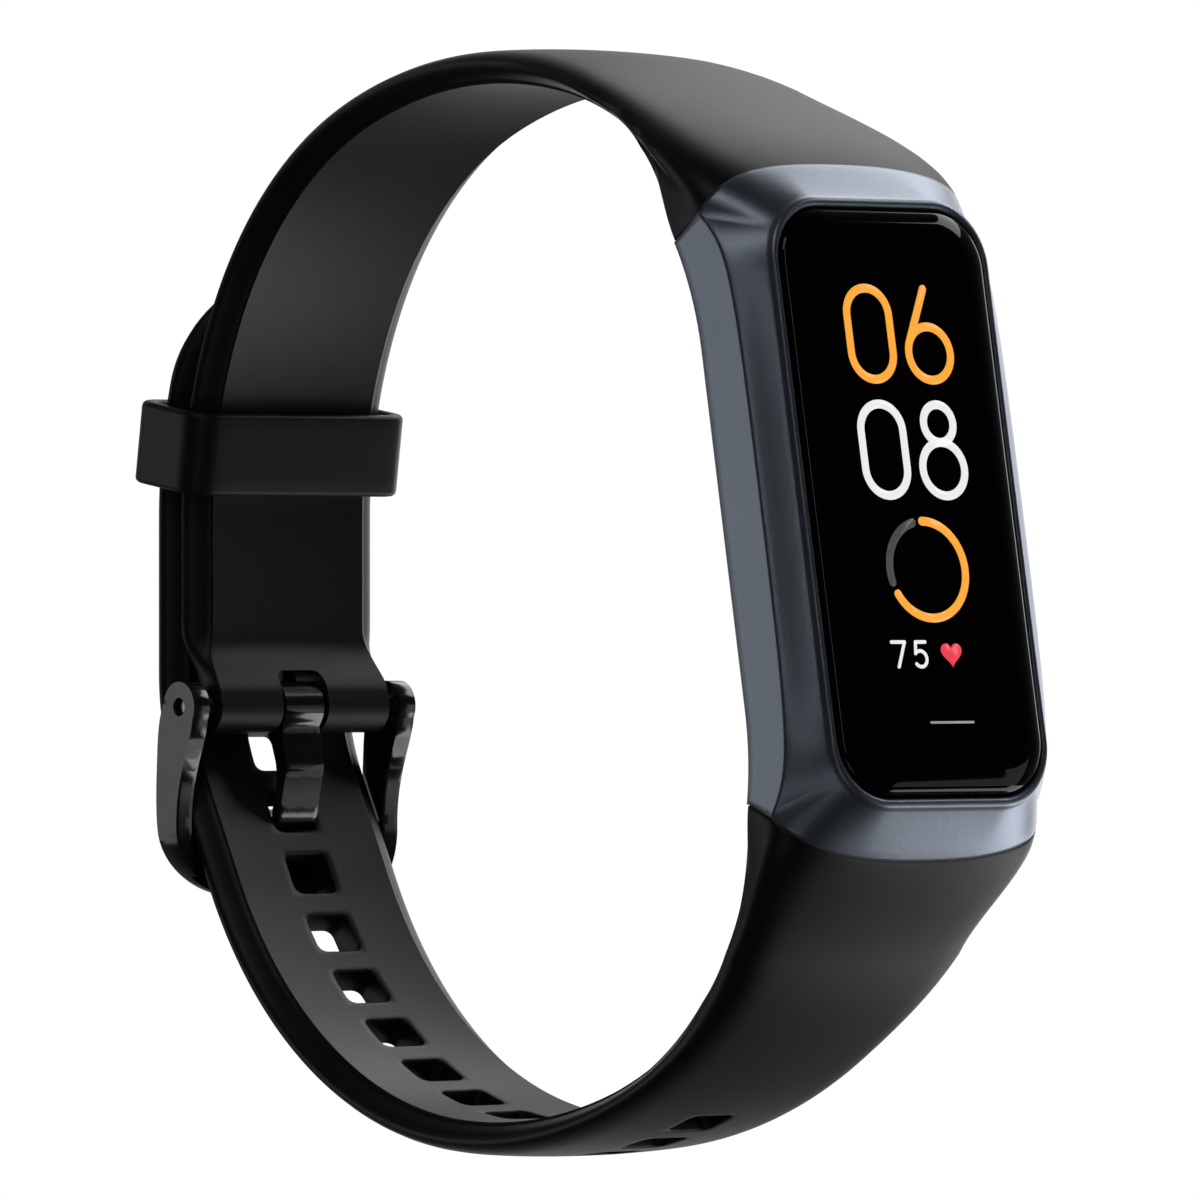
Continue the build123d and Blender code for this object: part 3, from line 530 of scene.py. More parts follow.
def upper_strap():
    """The buckle side: joint, plain stretch, and the end round the pin with its tongue slot."""
    straight_s = sum(r * radians(d) for r, d in UPPER_ARCS)
    end_s = UPPER_JOINT_S
    rings = joint_rings(upper_line, 1, UPPER_START_M, UPPER_ARCS[0][0], end_s, INNER_HALF_UPPER, 34)
    tail_z = PIN_Z + TAIL_RISE
    last_s = straight_s + STRAIGHT_TOP[1] - tail_z
    for s in np.linspace(end_s, last_s, int((last_s - end_s) / 0.4))[1:]:
        rings.append(plain_ring(upper_line, s, 1, INNER_HALF_UPPER))
    # the tail swells inwards and closes round the pin
    bottom = PIN_Z - LUG_R
    for t in np.linspace(0, 1, 30)[1:]:
        z = tail_z + (bottom - tail_z) * sin(t * pi / 2) * 0.999
        drop = (tail_z - z) / (tail_z - bottom)
        round_x = sqrt(max(LUG_R**2 - (z - PIN_Z) ** 2, 0))
        if z < PIN_Z + TAIL_ROUND:
            x_in, x_out = PIN_X + round_x, PIN_X - round_x
        else:
            blend = smooth((tail_z - z) / (tail_z - PIN_Z - TAIL_ROUND))
            meet = sqrt(LUG_R**2 - TAIL_ROUND**2)
            x_in = STRAIGHT_TOP[0] + (PIN_X + meet - STRAIGHT_TOP[0]) * blend**1.5
            x_out = STRAIGHT_TOP[0] - STRAP_T + (PIN_X - meet - STRAIGHT_TOP[0] + STRAP_T) * blend
        width = STRAP_HALF + (LUG_HALF - STRAP_HALF) * smooth(drop * 2.2)
        inner = INNER_HALF + (width - 0.35 - INNER_HALF) * smooth(drop * 1.8)
        base = np.array([x_in, 0, z])
        out = np.array([-1.0, 0, 0])
        narrow = width * (1 - 0.06 * smooth(drop * 2))
        outer = half_section(section_controls(base, out, narrow, inner, (x_in - x_out) / STRAP_T))
        fade = 1 - smooth(drop * 2)
        outer = crowned(outer, out, fade)
        rings.append(
            ring(outer, inner_row(lambda y: base + np.array([0, y, 0]) + out * dish(y) * fade, inner))
        )
    columns = len(rings[0])
    verts = np.concatenate(rings)
    faces = ring_faces(len(rings), columns, closed=False)
    faces += caps(len(rings), columns)
    piece = build("upper_strap_skin", verts, faces, SILICONE, "band", ["upper_strap"])
    slot_box = rounded_box("slot_cutter", (PIN_X - 1, 0, PIN_Z - 1.2), (5, SLOT_HALF, 3.35), 0.6)
    cut(piece, slot_box)
    return piece


def rounded_box(name, centre, half, radius):
    """A cutter with rounded upright corners, seen along X."""
    mesh = bpy.data.meshes.new(name)
    box = bmesh.new()
    bmesh.ops.create_cube(box, size=2.0)
    for vert in box.verts:
        vert.co = Vector([(c + v * h) * MM for c, v, h in zip(centre, vert.co, half)])
    edges = [e for e in box.edges if abs((e.verts[0].co - e.verts[1].co).normalized().x) > 0.9]
    bmesh.ops.bevel(box, geom=edges, offset=radius * MM, segments=5, profile=0.5, affect="EDGES")
    box.to_mesh(mesh)
    box.free()
    cutter = bpy.data.objects.new(name, mesh)
    bpy.context.scene.collection.objects.link(cutter)
    return cutter


def cut(piece, cutter):
    """Take the cutter's shape out of the piece, and remove the cutter."""
    modifier = piece.modifiers.new("cut", "BOOLEAN")
    modifier.operation = "DIFFERENCE"
    modifier.solver = "EXACT"
    modifier.object = cutter
    bpy.context.view_layer.update()
    evaluated = piece.evaluated_get(bpy.context.evaluated_depsgraph_get())
    mesh = bpy.data.meshes.new_from_object(evaluated)
    piece.modifiers.remove(modifier)
    piece.data = mesh
    bpy.data.objects.remove(cutter)
    sharpen(piece, 40)


def sharpen(piece, degrees):
    """Mark edges sharper than an angle, so that shading breaks there."""
    mesh = bmesh.new()
    mesh.from_mesh(piece.data)
    limit = radians(degrees)
    for edge in mesh.edges:
        if len(edge.link_faces) == 2 and edge.calc_face_angle(0) > limit:
            edge.smooth = False
    for face in mesh.faces:
        face.smooth = True
    mesh.to_mesh(piece.data)
    mesh.free()


def lower_strap():
    """The holed side: joint, plain stretch with its holes, and the rounded tip."""
    bend_length = sum(r * radians(d) for r, d in LOWER_ARCS)
    tongue_s = bend_length + (PIN_Z - TONGUE_HOLE_DROP - LEAN_START[1]) / cos(radians(LEAN))
    zone_start = tongue_s - (HOLES_BELOW + 0.5) * HOLE_PITCH
    zone_end = tongue_s + (HOLES_ABOVE + 0.5) * HOLE_PITCH
    end_s = LOWER_JOINT_S
    rings = joint_rings(lower_line, -1, -LOWER_START_M, LOWER_ARCS[0][0], end_s, INNER_HALF_LOWER, 26)
    lengths = list(np.linspace(end_s, zone_start, round((zone_start - end_s) / RING_STEP) + 1)[1:])
    first_hole_ring = len(rings) + len(lengths) - 1
    holes = HOLES_BELOW + HOLES_ABOVE + 1
    lengths += list(zone_start + RING_STEP * np.arange(1, PATCH * holes + 1))
    tip_start = lower_line.length - STRAP_HALF
    lengths += list(np.linspace(zone_end, tip_start, 18)[1:])
    for s in lengths:
        rings.append(plain_ring(lower_line, s, -1, INNER_HALF_LOWER))
    for t in np.linspace(0, 1, 22)[1:]:
        s = tip_start + STRAP_HALF * sin(t * pi / 2) * 0.998
        share = max(cos(t * pi / 2), 0.04)
        width, inner = STRAP_HALF * share, max(INNER_HALF * share - 0.2, 0.05)
        thick = 1 - 0.45 * smooth((t - 0.75) * 4)
        rings.append(plain_ring(lower_line, s, -1, INNER_HALF_LOWER, width, inner, thick, share))
    columns = len(rings[0])
    verts = list(np.concatenate(rings))
    faces = ring_faces(len(rings), columns, closed=False)
    centre = HALF_OUTER - 1
    inner_centre = 2 * HALF_OUTER - 1 + WALL_STEPS - 1 + HALF_INNER - 1
    removed = set()
    for hole in range(holes):
        first = first_hole_ring + PATCH * hole
        middle_s = zone_start + HOLE_PITCH * (hole + 0.5)
        loops = []
        for side, middle_column in (("outer", centre), ("inner", inner_centre)):
            for r in range(first, first + PATCH):
                for c in range(middle_column - PATCH // 2, middle_column + PATCH // 2):
                    removed.add((r, c))
            loops.append(hole_loops(verts, columns, first, middle_column, middle_s, side))
        bridge(faces, loops)
    kept = []
    for index, face in enumerate(faces[: (len(rings) - 1) * columns]):
        if (index // columns, index % columns) not in removed:
            kept.append(face)
    faces = kept + faces[(len(rings) - 1) * columns :]
    faces += caps(len(rings), columns)
    return build("lower_strap_skin", verts, faces, SILICONE, "band", ["lower_strap"])


def hole_loops(verts, columns, first, middle, middle_s, side):
    """Loops of points from the border of a hole's patch to the top of its wall."""
    last, low, high = first + PATCH, middle - PATCH // 2, middle + PATCH // 2
    border = [(first, c) for c in range(low, high)]
    border += [(r, high) for r in range(first, last)]
    border += [(last, c) for c in range(high, low, -1)]
    border += [(r, low) for r in range(last, first, -1)]
    ids = [r * columns + c for r, c in border]
    loops = [ids]
    height = STRAP_T if side == "outer" else 0.0
    into = -1 if side == "outer" else 1
    for share, grow, sink in ((0.55, 0.0, 0.0), (1.0, 0.13, 0.0), (1.0, 0.04, 0.04), (1.0, 0.0, 0.14)):
        row = []
        for r, c in border:
            u = (r - first - PATCH // 2) / (PATCH // 2)
            y = verts[r * columns + c][1]
            rim_s, rim_y = rim_point(u, y / CENTRE_Y[-1], grow)
            s_off = u * HOLE_PITCH / 2 + (rim_s - u * HOLE_PITCH / 2) * share
            y_off = y + (rim_y - y) * share
            base, _, outward = strap_frame(lower_line, middle_s + s_off, -1)
            level = height - crown(y_off) if side == "outer" else dish(y_off)
            row.append(len(verts))
            verts.append(base + outward * (level + into * sink) + np.array([0, y_off, 0]))
        loops.append(row)
    return loops


def rim_point(u, v, grow):
    """The hole's rounded outline at a point of the square border, grown by its bevel."""
    half_s, half_y = HOLE_HALF_S + grow, HOLE_HALF_Y + grow
    radius = HOLE_R + grow
    s, y = u * half_s, v * half_y
    corner_s, corner_y = half_s - radius, half_y - radius
    if abs(s) > corner_s and abs(y) > corner_y:
        ds, dy = abs(s) - corner_s, abs(y) - corner_y
        scale = radius / sqrt(ds * ds + dy * dy)
        s, y = np.sign(s) * (corner_s + ds * scale), np.sign(y) * (corner_y + dy * scale)
    return s, y


def bridge(faces, loops):
    """Quads along each face's loops, then the wall between the two faces."""
    outer, inner = loops
    for rows in (outer, inner):
        for a, b in zip(rows, rows[1:]):
            count = len(a)
            faces += [(a[i], a[(i + 1) % count], b[(i + 1) % count], b[i]) for i in range(count)]
    top, bottom = outer[-1], inner[-1]
    # the inner row runs the other way across Y, so its loop is matched from a corner backwards
    count = len(top)
    for i in range(count):
        here, after = (count // 4 - i) % count, (count // 4 - i - 1) % count
        faces.append((top[i], top[(i + 1) % count], bottom[after], bottom[here]))


# ---- display module --------------------------------------------------------------------------
SIDE_COUNT, CORNER_A, CORNER_B, END_COUNT = 40, 10, 16, 14
EDGE_ANGLE = atan2(WALL_Y - (LIP_Y - LIP_R), EDGE_END[0] - (LIP_M - LIP_R))


def loop_angles():
    first = np.linspace(pi / 2, EDGE_ANGLE, CORNER_A + 1)
    second = np.linspace(EDGE_ANGLE, 0, CORNER_B + 1)
    return np.concatenate([first, second[1:]])


def quarter_rect(half_m, half_y, radius):
    """Quarter of a rounded rectangle from (0, half_y) to (half_m, 0), in step with the lip's loop."""
    straight_m, straight_y = half_m - radius, half_y - radius
    angles = loop_angles()
    side = np.stack([np.linspace(0, straight_m, SIDE_COUNT + 1)[:-1], np.full(SIDE_COUNT, half_y)], -1)
    corner = np.stack([straight_m + radius * np.cos(angles), straight_y + radius * np.sin(angles)], -1)
    end = np.stack([np.full(END_COUNT, half_m), np.linspace(straight_y, 0, END_COUNT + 1)[1:]], -1)
    return np.concatenate([side, corner, end])


def edge_line():
    """The arched line where the side wall meets the slope, as (m, n)."""
    return spline([(0, 3.8), (5.5, 3.8), (12.6, 3.75), (15.6, 2.95), EDGE_END], 121)


def quarter_boundary():
    """Outer boundary of the sloped top: the edge line, then the strap joint, as (m, Y, n)."""
    line = edge_line()
    straight_m = LIP_M - LIP_R
    ms = np.linspace(0, straight_m, SIDE_COUNT + 1)[:-1]
    side = np.stack([ms, np.full_like(ms, WALL_Y), np.interp(ms, line[:, 0], line[:, 1])], -1)
    joint = spline([*JOINT, (EDGE_END[0], WALL_Y, EDGE_END[1])], 241)[::-1]
    whole = np.concatenate([
        np.stack([line[:, 0], np.full(len(line), WALL_Y), line[:, 1]], -1)[line[:, 0] >= straight_m - 0.5],
        joint[1:],
    ])
    centre_y = LIP_Y - LIP_R
    angle_of = np.arctan2(whole[:, 1] - centre_y, whole[:, 0] - straight_m)
    order = np.argsort(-angle_of)
    angles = loop_angles()
    corner = np.stack([np.interp(-angles, -angle_of[order], whole[order, k]) for k in range(3)], -1)
    corner[CORNER_A] = (EDGE_END[0], WALL_Y, EDGE_END[1])
    ys = np.linspace(centre_y, 0, END_COUNT + 1)[1:]
    end = np.stack([np.interp(ys, joint[::-1][:, 1], joint[::-1][:, k]) for k in range(3)], -1)
    return np.concatenate([side, corner, end])


def back_n(m):
    """Height of the module's wrist side: flat, then along each strap's first arc."""
    m = np.asarray(m, float)
    up = np.clip(m - UPPER_START_M, 0, None)
    down = np.clip(LOWER_START_M - m, 0, None)
    return -(UPPER_ARCS[0][0] - np.sqrt(UPPER_ARCS[0][0] ** 2 - up**2)) - (
        LOWER_ARCS[0][0] - np.sqrt(LOWER_ARCS[0][0] ** 2 - down**2)
    )


def quarter_back(half_y, inset):
    """The wrist side's outer line as (m, Y): along the wall, then along the strap joint."""
    straight_m = LIP_M - LIP_R
    corner_m = BACK_END_M - inset
    side = np.stack([np.linspace(0, straight_m, SIDE_COUNT + 1)[:-1], np.full(SIDE_COUNT, half_y)], -1)
    first = np.stack([np.linspace(straight_m, corner_m, CORNER_A + 1), np.full(CORNER_A + 1, half_y)], -1)
    ys = np.linspace(half_y, LIP_Y - LIP_R, CORNER_B + 1)[1:]
    second = np.stack([back_m(ys) - inset, ys], -1)
    second[:, 0] += corner_m - (back_m(half_y) - inset)
    ys = np.linspace(LIP_Y - LIP_R, 0, END_COUNT + 1)[1:]
    end = np.stack([back_m(ys) - inset + corner_m - (back_m(half_y) - inset), ys], -1)
    return np.concatenate([side, first, second, end])


def whole_loop(quarter, height):
    """A closed loop of row-frame points from a quarter, mirrored in m and Y.

    height is a number, an array along the quarter, or a function of m.
    """
    m, y = quarter[:, 0], quarter[:, 1]
    signs = ((1, 1, False), (1, -1, True), (-1, -1, False), (-1, 1, True))
    parts = []
    for sign_m, sign_y, backwards in signs:
        mm, yy = sign_m * m, sign_y * y
        hh = height(mm) if callable(height) else np.broadcast_to(height, mm.shape)
        points = module_point(mm, yy, hh)
        if backwards:
            points = points[::-1]
        parts.append(points[:-1])
    return np.concatenate(parts)


def module_frame():
    """One closed skin: slope, lip, pocket, window, cavity, wrist side and side walls."""
    boundary = quarter_boundary()
    foot = quarter_rect(LIP_M, LIP_Y, LIP_R)
    foot3 = np.column_stack([foot, np.full(len(foot), LIP_FOOT_N)])
    loops = []
    # wall just under the edge line, the edge, then the slope up to the lip
    slope = ((0.0, 0.0), (0.06, 0.03), (0.2, 0.03), (0.4, 0.0), (0.6, -0.02), (0.8, -0.03), (0.95, -0.02))
    for share, lift in slope:
        row = boundary + (foot3 - boundary) * share
        loops.append(whole_loop(row[:, :2], row[:, 2] + lift))
    lip = ((0.0, 0.0), (0.03, 0.2), (0.1, 0.33), (0.22, 0.4), (0.36, 0.38), (0.44, 0.3))
    for inset, rise in lip:
        row = quarter_rect(LIP_M - inset * 1.3, LIP_Y - inset, LIP_R - inset)
        loops.append(whole_loop(row, LIP_FOOT_N + rise))
    pocket = quarter_rect(POCKET_M, POCKET_Y, POCKET_R)
    loops.append(whole_loop(pocket, LIP_FOOT_N + 0.2))
    loops.append(whole_loop(pocket, LEDGE_N))
    window = quarter_rect(*WINDOW)
    loops += [whole_loop(window, LEDGE_N), whole_loop(window, CAVITY_TOP_N)]
    cavity = quarter_rect(*CAVITY)
    loops += [whole_loop(cavity, CAVITY_TOP_N), whole_loop(cavity, CAVITY_BACK_N)]
    cover = quarter_rect(*COVER)
    loops += [whole_loop(cover, CAVITY_BACK_N), whole_loop(cover, lambda m: back_n(m) + 0.12)]
    loops.append(whole_loop(quarter_rect(*[size + BACK_RIM for size in COVER]), back_n))
    back_flat = quarter_back(9.0, 0.0)
    loops.append(whole_loop(back_flat, back_n))
    # the wall, from the wrist side to the edge line
    low = np.column_stack([quarter_back(9.45, 0.0), np.zeros(len(back_flat))])
    low_loop = whole_loop(low[:, :2], lambda m: back_n(m) + 0.12)
    wall = quarter_back(WALL_Y, 0.0)
    wall_loop = whole_loop(wall, lambda m: back_n(m) + 0.45)
    top_loop = loops[0]
    loops += [low_loop, wall_loop]
    for share in (0.2, 0.4, 0.6, 0.8, 0.96):
        loops.append(wall_loop + (top_loop - wall_loop) * share)
    verts = np.concatenate(loops)
    faces = ring_faces(len(loops), len(loops[0]), closed=True)
    return build("module_frame_skin", verts, faces, SLATE, "band", ["module_frame"])


def cover_glass():
    """A plate with rounded edges."""
    loops = [whole_loop(quarter_rect(GLASS_M - 0.1, GLASS_Y - 0.1, GLASS_R - 0.1), GLASS_BACK_N)]
    loops.append(whole_loop(quarter_rect(GLASS_M, GLASS_Y, GLASS_R), GLASS_BACK_N + 0.1))
    for t in np.linspace(0, 1, 15):
        inset = GLASS_CURVE * (1 - cos(t * pi / 2))
        height = GLASS_EDGE_N + (GLASS_TOP_N - GLASS_EDGE_N) * sin(t * pi / 2)
        edge = quarter_rect(GLASS_M - inset, GLASS_Y - inset, GLASS_R - inset * 0.75)
        loops.append(whole_loop(edge, height))
    for share in (0.9, 0.6, 0.3, 0.02):
        edge = quarter_rect(GLASS_M - GLASS_CURVE, GLASS_Y - GLASS_CURVE, GLASS_R - GLASS_CURVE * 0.75)
        loops.append(whole_loop(edge * share, GLASS_TOP_N))
    columns = len(loops[0])
    verts = np.concatenate(loops)
    faces = ring_faces(len(loops), columns, closed=False)
    faces += caps(len(loops), columns)
    return build("cover_glass_skin", verts, faces, GLASS, "band", ["cover_glass"])


# ---- the picture on the display --------------------------------------------------------------
ART_N = GLASS_TOP_N + 0.012
ART_T = 0.02
ORANGE = glow("art_orange", (1.0, 0.42, 0.05))
WHITE = glow("art_white", (0.86, 0.86, 0.88))
GREY = glow("art_grey", (0.32, 0.32, 0.34))
HEART = glow("art_heart", (0.9, 0.06, 0.1))
TRACK = glow("art_track", (0.07, 0.07, 0.075))


def stroke(name, path, width, material, closed=False):
    """A flat ribbon along a path of (across, up) points on the glass, as a thin closed solid."""
    path = np.asarray(path, float)
    count = len(path)
    if closed:
        ahead = np.roll(path, -1, 0) - np.roll(path, 1, 0)
    else:
        ahead = np.gradient(path, axis=0)
    ahead /= np.linalg.norm(ahead, axis=1)[:, None]
    left = np.stack([-ahead[:, 1], ahead[:, 0]], -1) * width / 2
    if not closed:
        # round ends
        fan = np.linspace(-pi / 2, pi / 2, 9)
        tip = [path[-1] + ahead[-1] * cos(a) * width / 2 - left[-1] * sin(a) for a in fan]
        tail = [path[0] - ahead[0] * cos(a) * width / 2 + left[0] * sin(a) for a in fan]
        outline = np.concatenate([path + left, tip[1:-1], (path - left)[::-1], tail[1:-1]])
        return plate(name, outline, material)
    rows = [path + left, path - left]
    verts, faces = [], []
    for height in (ART_N, ART_N + ART_T):
        for row in rows:
            verts.append(module_point(row[:, 1], row[:, 0], height))
    order = (0, 1, 3, 2)
    for a, b in zip(order, order[1:] + order[:1]):
        for i in range(count):
            j = (i + 1) % count
            faces.append((a * count + i, a * count + j, b * count + j, b * count + i))
    return build(name, np.concatenate(verts), faces, material, "band")


def plate(name, outline, material):
    """A thin closed plate from an outline of (across, up) points."""
    outline = np.asarray(outline, float)
    count = len(outline)
    low = module_point(outline[:, 1], outline[:, 0], ART_N)
    high = module_point(outline[:, 1], outline[:, 0], ART_N + ART_T)
    faces = [tuple(range(count)), tuple(range(count, 2 * count))]
    faces += [(i, (i + 1) % count, count + (i + 1) % count, count + i) for i in range(count)]
    return build(name, np.concatenate([low, high]), faces, material, "band")


def arc_points(centre, radius, start, end, count=24):
    angles = np.radians(np.linspace(start, end, count))
    return np.stack([centre[0] + radius * np.cos(angles), centre[1] + radius * np.sin(angles)], -1)


def digit_zero(name, x, y, width, height, line, material):
    r = width / 2
    top = arc_points((x, y + height / 2 - r), r, 0, 180)
    bottom = arc_points((x, y - height / 2 + r), r, 180, 360)
    stroke(name, np.concatenate([top, bottom]), line, material, closed=True)


def digit_six(name, x, y, width, height, line, material):
    r = width / 2
    bowl = (x, y - height / 2 + r)
    stroke(name + "_bowl", arc_points(bowl, r, 0, 355, 56), line, material, closed=True)
    start = (bowl[0] - r * cos(radians(28)), bowl[1] + r * sin(radians(28)))
    stroke(name + "_stem", [start, (x + 0.02 * width, y + height / 2)], line, material)


def digit_eight(name, x, y, width, height, line, material):
    low_r = width / 2
    top_r = (height - 2 * low_r) / 2
    low = arc_points((x, y - height / 2 + low_r), low_r, 0, 355, 56)
    high = arc_points((x, y + height / 2 - top_r), top_r, 0, 355, 56)
    stroke(name + "_low", low, line, material, closed=True)
    stroke(name + "_high", high, line, material, closed=True)


def clock():
    """Hours over minutes, in thin round-ended strokes."""
    size = dict(width=3.05, height=5.2, line=0.5)
    digit_zero("hours_zero", -2.1, 9.4, material=ORANGE, **size)
    digit_six("hours_six", 2.1, 9.4, material=ORANGE, **size)
    digit_zero("minutes_zero", -2.1, 2.8, material=WHITE, **size)
    digit_eight("minutes_eight", 2.1, 2.8, material=WHITE, **size)


def pulse_row():
    """A small heart, the pulse as a number, and the bar under them."""
    line = 0.2
    t = np.linspace(0, 2 * pi, 48, endpoint=False)
    up = 13 * np.cos(t) - 5 * np.cos(2 * t) - 2 * np.cos(3 * t) - np.cos(4 * t)
    heart = np.stack([16 * np.sin(t) ** 3, up], -1)
    plate("pulse_heart", heart * 0.047 + np.array([1.0, -8.75]), HEART)
    seven = [(-3.3, -8.1), (-2.35, -8.1), (-2.95, -9.5)]
    stroke("pulse_seven_top", seven[:2], line, WHITE)
    stroke("pulse_seven_stem", seven[1:], line, WHITE)
    stroke("pulse_five_top", [(-0.85, -8.1), (-1.55, -8.1)], line, WHITE)
    stroke("pulse_five_stem", [(-1.55, -8.1), (-1.63, -8.75)], line, WHITE)
    stroke("pulse_five_bowl", arc_points((-1.3, -9.05), 0.45, 125, -140, 30), line, WHITE)
    stroke("home_bar", [(-1.1, -12.65), (2.0, -12.65)], 0.13, GREY)


def progress_ring():
    """A plain ring gauge: two thirds lit, the rest dim."""
    centre, radius, line = (0.0, -4.0), 2.75, 0.5
    stroke("progress_lit", arc_points(centre, radius, 90, -150, 56), line, ORANGE)
    stroke("progress_dim", arc_points(centre, radius, -165, -255, 24), line, TRACK)


# ---- keeper loop -----------------------------------------------------------------------------
KEEPER_ANGLE = radians(8.7)  # up the arc that the straps follow above their straight stretch
KEEPER_WALL, KEEPER_HEIGHT, KEEPER_HALF_Y = 0.95, 4.9, 7.15
KEEPER_R, KEEPER_EDGE_R = 1.25, 0.32
KEEPER_INNER_CLEAR, KEEPER_OUTER_CLEAR = 0.32, 0.2  # to the two layers of strap


def keeper_loop():
    """The wall's rounded section, run round a rounded rectangle."""
    arc_r = UPPER_ARCS[-1][0]
    centre = np.array([STRAIGHT_TOP[0] + arc_r, 0, STRAIGHT_TOP[1]])
    inside_r = arc_r - KEEPER_INNER_CLEAR
    outside_r = arc_r + 2 * STRAP_T + STRAP_GAP + KEEPER_OUTER_CLEAR
    middle_r, wall = (inside_r + outside_r) / 2, KEEPER_WALL
    out = np.array([-cos(KEEPER_ANGLE), 0, sin(KEEPER_ANGLE)])
    up = np.array([sin(KEEPER_ANGLE), 0, cos(KEEPER_ANGLE)])
    spot = centre + middle_r * out
    half_d = (outside_r - inside_r) / 2 + wall / 2
    path = rounded_rectangle(KEEPER_HALF_Y + wall / 2, half_d, KEEPER_R, 9, 15)
    section = rounded_rectangle(wall / 2, KEEPER_HEIGHT / 2, KEEPER_EDGE_R, 5, 6)
    rings = []
    for (y, d), (ny, nd) in path:
        rings.append(
            [spot + np.array([0, y + ny * a, 0]) + out * (d + nd * a) + up * b for (a, b), _ in section]
        )
    faces = ring_faces(len(rings), len(section), closed=True)
    verts = np.concatenate(rings)
    return build("keeper_skin", verts, faces, KEEPER, "keeper", ["keeper_loop"])


def rounded_rectangle(half_a, half_b, radius, corner_steps, side_steps):
    """Closed outline of a rounded rectangle, as (point, normal) pairs."""
    outline = []
    corners = ((1, 1, 0), (-1, 1, 90), (-1, -1, 180), (1, -1, 270))
    for index, (sa, sb, start) in enumerate(corners):
        for angle in np.radians(np.linspace(start, start + 90, corner_steps)):
            a = sa * (half_a - radius) + radius * cos(angle)
            b = sb * (half_b - radius) + radius * sin(angle)
            outline.append(((a, b), (cos(angle), sin(angle))))
        na, nb, _ = corners[(index + 1) % 4]
        end = radians(start + 90)
        far_a = na * (half_a - radius) + radius * cos(end)
        far_b = nb * (half_b - radius) + radius * sin(end)
        for t in np.linspace(0, 1, side_steps)[1:-1]:
            outline.append(((a + (far_a - a) * t, b + (far_b - b) * t), (cos(end), sin(end))))
    return outline


# ---- buckle ----------------------------------------------------------------------------------
def bevelled_copy(node, name, body, width):
    """The node's own shape with its edges rounded off, as the polished metal has them."""
    mesh = frame["nodes"][node].data.copy()
    mesh.name = name
    shape = bmesh.new()
    shape.from_mesh(mesh)
    bmesh.ops.remove_doubles(shape, verts=shape.verts, dist=2e-6)
    bmesh.ops.dissolve_limit(
        shape, angle_limit=radians(0.6), verts=shape.verts, edges=shape.edges, delimit=set()
    )
    edges = [e for e in shape.edges if len(e.link_faces) == 2 and e.calc_face_angle(0) > radians(38)]
    bmesh.ops.bevel(
        shape, geom=edges, offset=width * MM, segments=3, profile=0.5, affect="EDGES", clamp_overlap=True
    )
    shape.to_mesh(mesh)
    shape.free()
    for polygon in mesh.polygons:
        polygon.use_smooth = True
    mesh.materials.clear()
    mesh.materials.append(BLACK_METAL)
    piece = bpy.data.objects.new(name, mesh)
    bpy.context.scene.collection.objects.link(piece)
    settle(piece, body, [node])
    weighted(piece)
    return piece


# ---- stage -----------------------------------------------------------------------------------
CAMERA_DIR = Vector((-0.7771, 0.6293, 0.0))
CAMERA_AIM, CAMERA_DISTANCE = (-2.38, 3.976, 0.174), 0.7
FLOOR_HALF, FLOOR_GAP = 12.0, 0.0004


def make_camera():
    """The photograph's long-lens view, from the display side and slightly along the wrist."""
    data = bpy.data.cameras.new("camera")
    data.lens = 361.2
    data.sensor_width = 36.0
    data.clip_start, data.clip_end = 0.01, 50.0
    camera = bpy.data.objects.new("camera", data)
    aim = Vector(CAMERA_AIM) * MM
    camera.location = aim - CAMERA_DIR * CAMERA_DISTANCE
    camera.rotation_euler = CAMERA_DIR.to_track_quat("-Z", "Y").to_euler()
    bpy.context.scene.collection.objects.link(camera)
    bpy.context.scene.camera = camera


def make_floor():
    """A wide pale floor just under the band."""
    side, level = FLOOR_HALF, cad_box[0][2] - FLOOR_GAP
    mesh = bpy.data.meshes.new("floor")
    corners = [(-side, -side, level), (side, -side, level), (side, side, level), (-side, side, level)]
    mesh.from_pydata(corners, [], [(0, 1, 2, 3)])
    floor = bpy.data.objects.new("floor", mesh)
    bpy.context.scene.collection.objects.link(floor)
    material = bpy.data.materials.new("floor_white")
    material.use_nodes = True
    principled = material.node_tree.nodes["Principled BSDF"]
    principled.inputs["Base Color"].default_value = (0.0, 0.0, 0.0, 1)
    principled.inputs["Specular IOR Level"].default_value = 0.0
    principled.inputs["Emission Color"].default_value = (1, 1, 1, 1)
    principled.inputs["Emission Strength"].default_value = 1.02
    mesh.materials.append(material)
    floor.visible_glossy = False
    floor.visible_diffuse = False
    floor.visible_transmission = False
    floor.visible_shadow = False


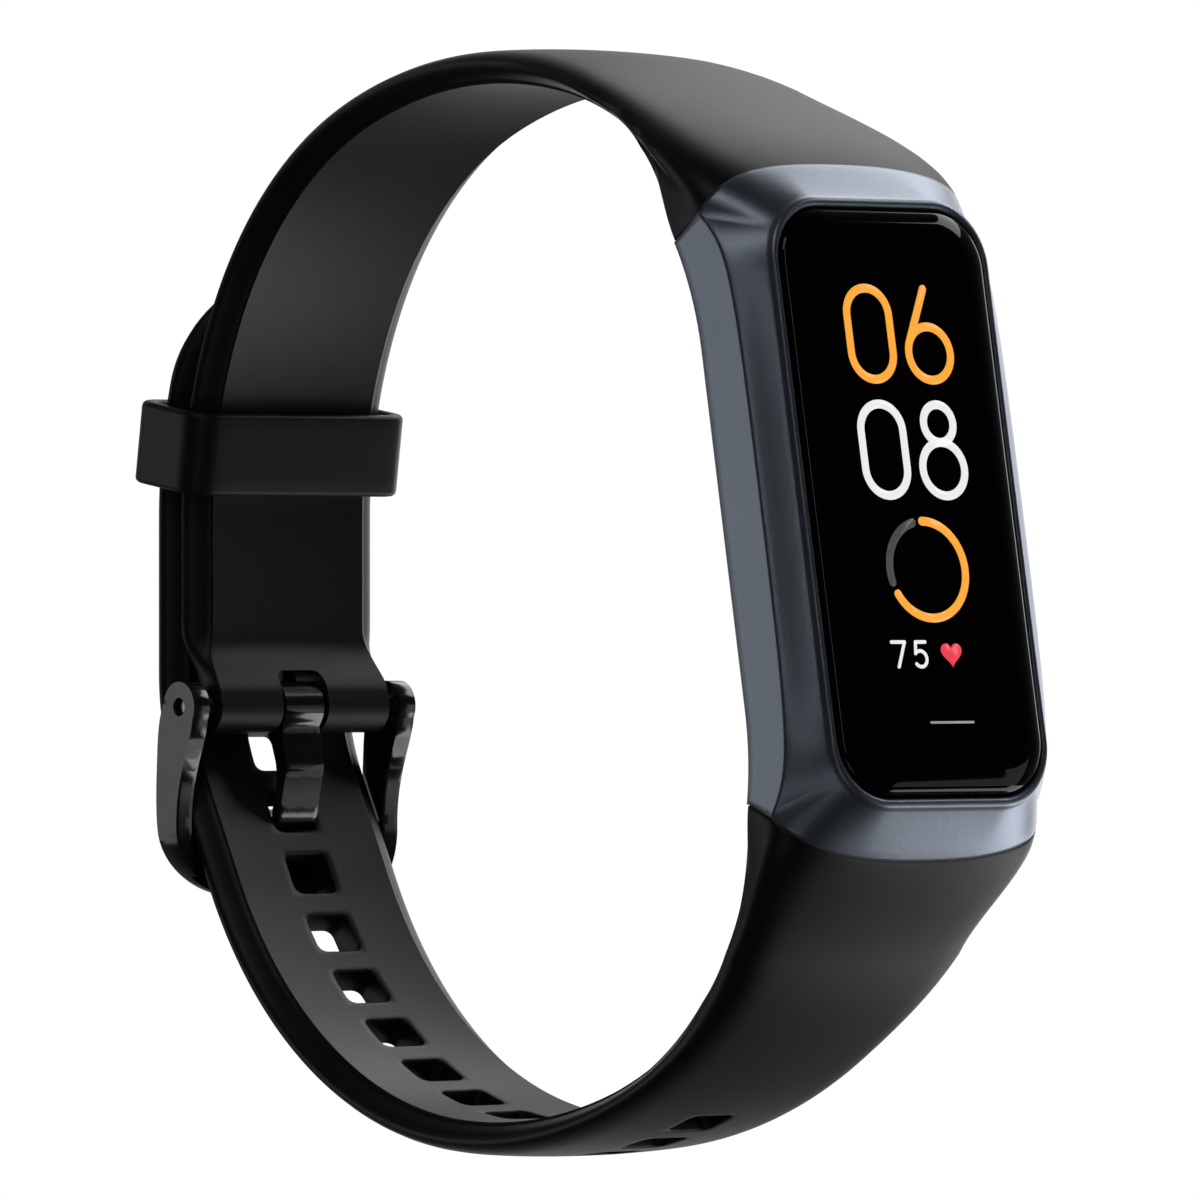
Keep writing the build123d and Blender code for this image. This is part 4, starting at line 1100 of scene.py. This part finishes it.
def make_world():
    """A white room: bright behind the band, dim in front of it, white where it is seen."""
    world = bpy.data.worlds.new("studio")
    bpy.context.scene.world = world
    world.use_nodes = True
    nodes, links = world.node_tree.nodes, world.node_tree.links
    background = nodes["Background"]
    place = nodes.new("ShaderNodeTexCoord")
    facing = nodes.new("ShaderNodeVectorMath")
    facing.operation = "DOT_PRODUCT"
    facing.inputs[1].default_value = CAMERA_DIR
    links.new(place.outputs["Generated"], facing.inputs[0])
    ramp = nodes.new("ShaderNodeValToRGB")
    stops = ((0.5, 0.012), (0.6, 0.03), (0.75, 0.08), (0.9, 0.16), (0.95, 0.35), (0.99, 1.0))
    while len(ramp.color_ramp.elements) < len(stops):
        ramp.color_ramp.elements.new(0.5)
    for element, (position, value) in zip(ramp.color_ramp.elements, stops):
        element.position = position
        element.color = (value, value, value * 1.02, 1)
    shift = nodes.new("ShaderNodeMapRange")
    shift.inputs["From Min"].default_value = -1.0
    links.new(facing.outputs["Value"], shift.inputs["Value"])
    links.new(shift.outputs["Result"], ramp.inputs["Fac"])
    seen = nodes.new("ShaderNodeLightPath")
    mixed = nodes.new("ShaderNodeMix")
    mixed.data_type = "RGBA"
    links.new(seen.outputs["Is Camera Ray"], mixed.inputs[0])
    links.new(ramp.outputs["Color"], mixed.inputs[6])
    mixed.inputs[7].default_value = (1.02, 1.02, 1.02, 1)
    links.new(mixed.outputs[2], background.inputs["Color"])


def softbox(name, direction, size, radiance, distance=0.6):
    """A soft rectangular light that faces the band, with the brightness that its face shows."""
    data = bpy.data.lights.new(name, "AREA")
    data.shape = "RECTANGLE"
    data.size, data.size_y = size
    data.energy = radiance * pi * size[0] * size[1]
    light = bpy.data.objects.new(name, data)
    light.location = Vector(direction).normalized() * distance
    light.rotation_euler = (-light.location).to_track_quat("-Z", "Y").to_euler()
    bpy.context.scene.collection.objects.link(light)


def make_lights():
    softbox("key", (-0.1, 0.76, 0.65), (0.75, 0.18), 2.5)
    softbox("side", (-0.777, -0.629, 0.0), (0.25, 0.35), 0.65)
    softbox("low", (0.2, 0.8, -0.57), (0.5, 0.2), 2.2)
    softbox("far_side", (-0.35, 0.93, 0.0), (0.3, 0.45), 1.4)
    softbox("front", (0.66, 0.74, -0.2), (0.18, 0.3), 0.5)
    softbox("edge_strip", (0.7, -0.66, 0.28), (0.01, 0.5), 5.0)
    softbox("corner_high", (0.3, -0.6, 0.74), (0.2, 0.2), 1.2)
    softbox("corner_low", (0.49, -0.67, -0.56), (0.25, 0.25), 0.3)


# ---- making ----------------------------------------------------------------------------------
make_camera()
dress_frame()
upper_strap()
lower_strap()
module_frame()
cover_glass()
clock()
pulse_row()
progress_ring()
keeper_loop()
bevelled_copy("buckle_frame", "buckle_frame_skin", "buckle", 0.13)
bevelled_copy("buckle_tongue", "buckle_tongue_skin", "tongue", 0.12)
make_floor()
make_world()
make_lights()
bpy.context.scene.view_settings.view_transform = "Standard"
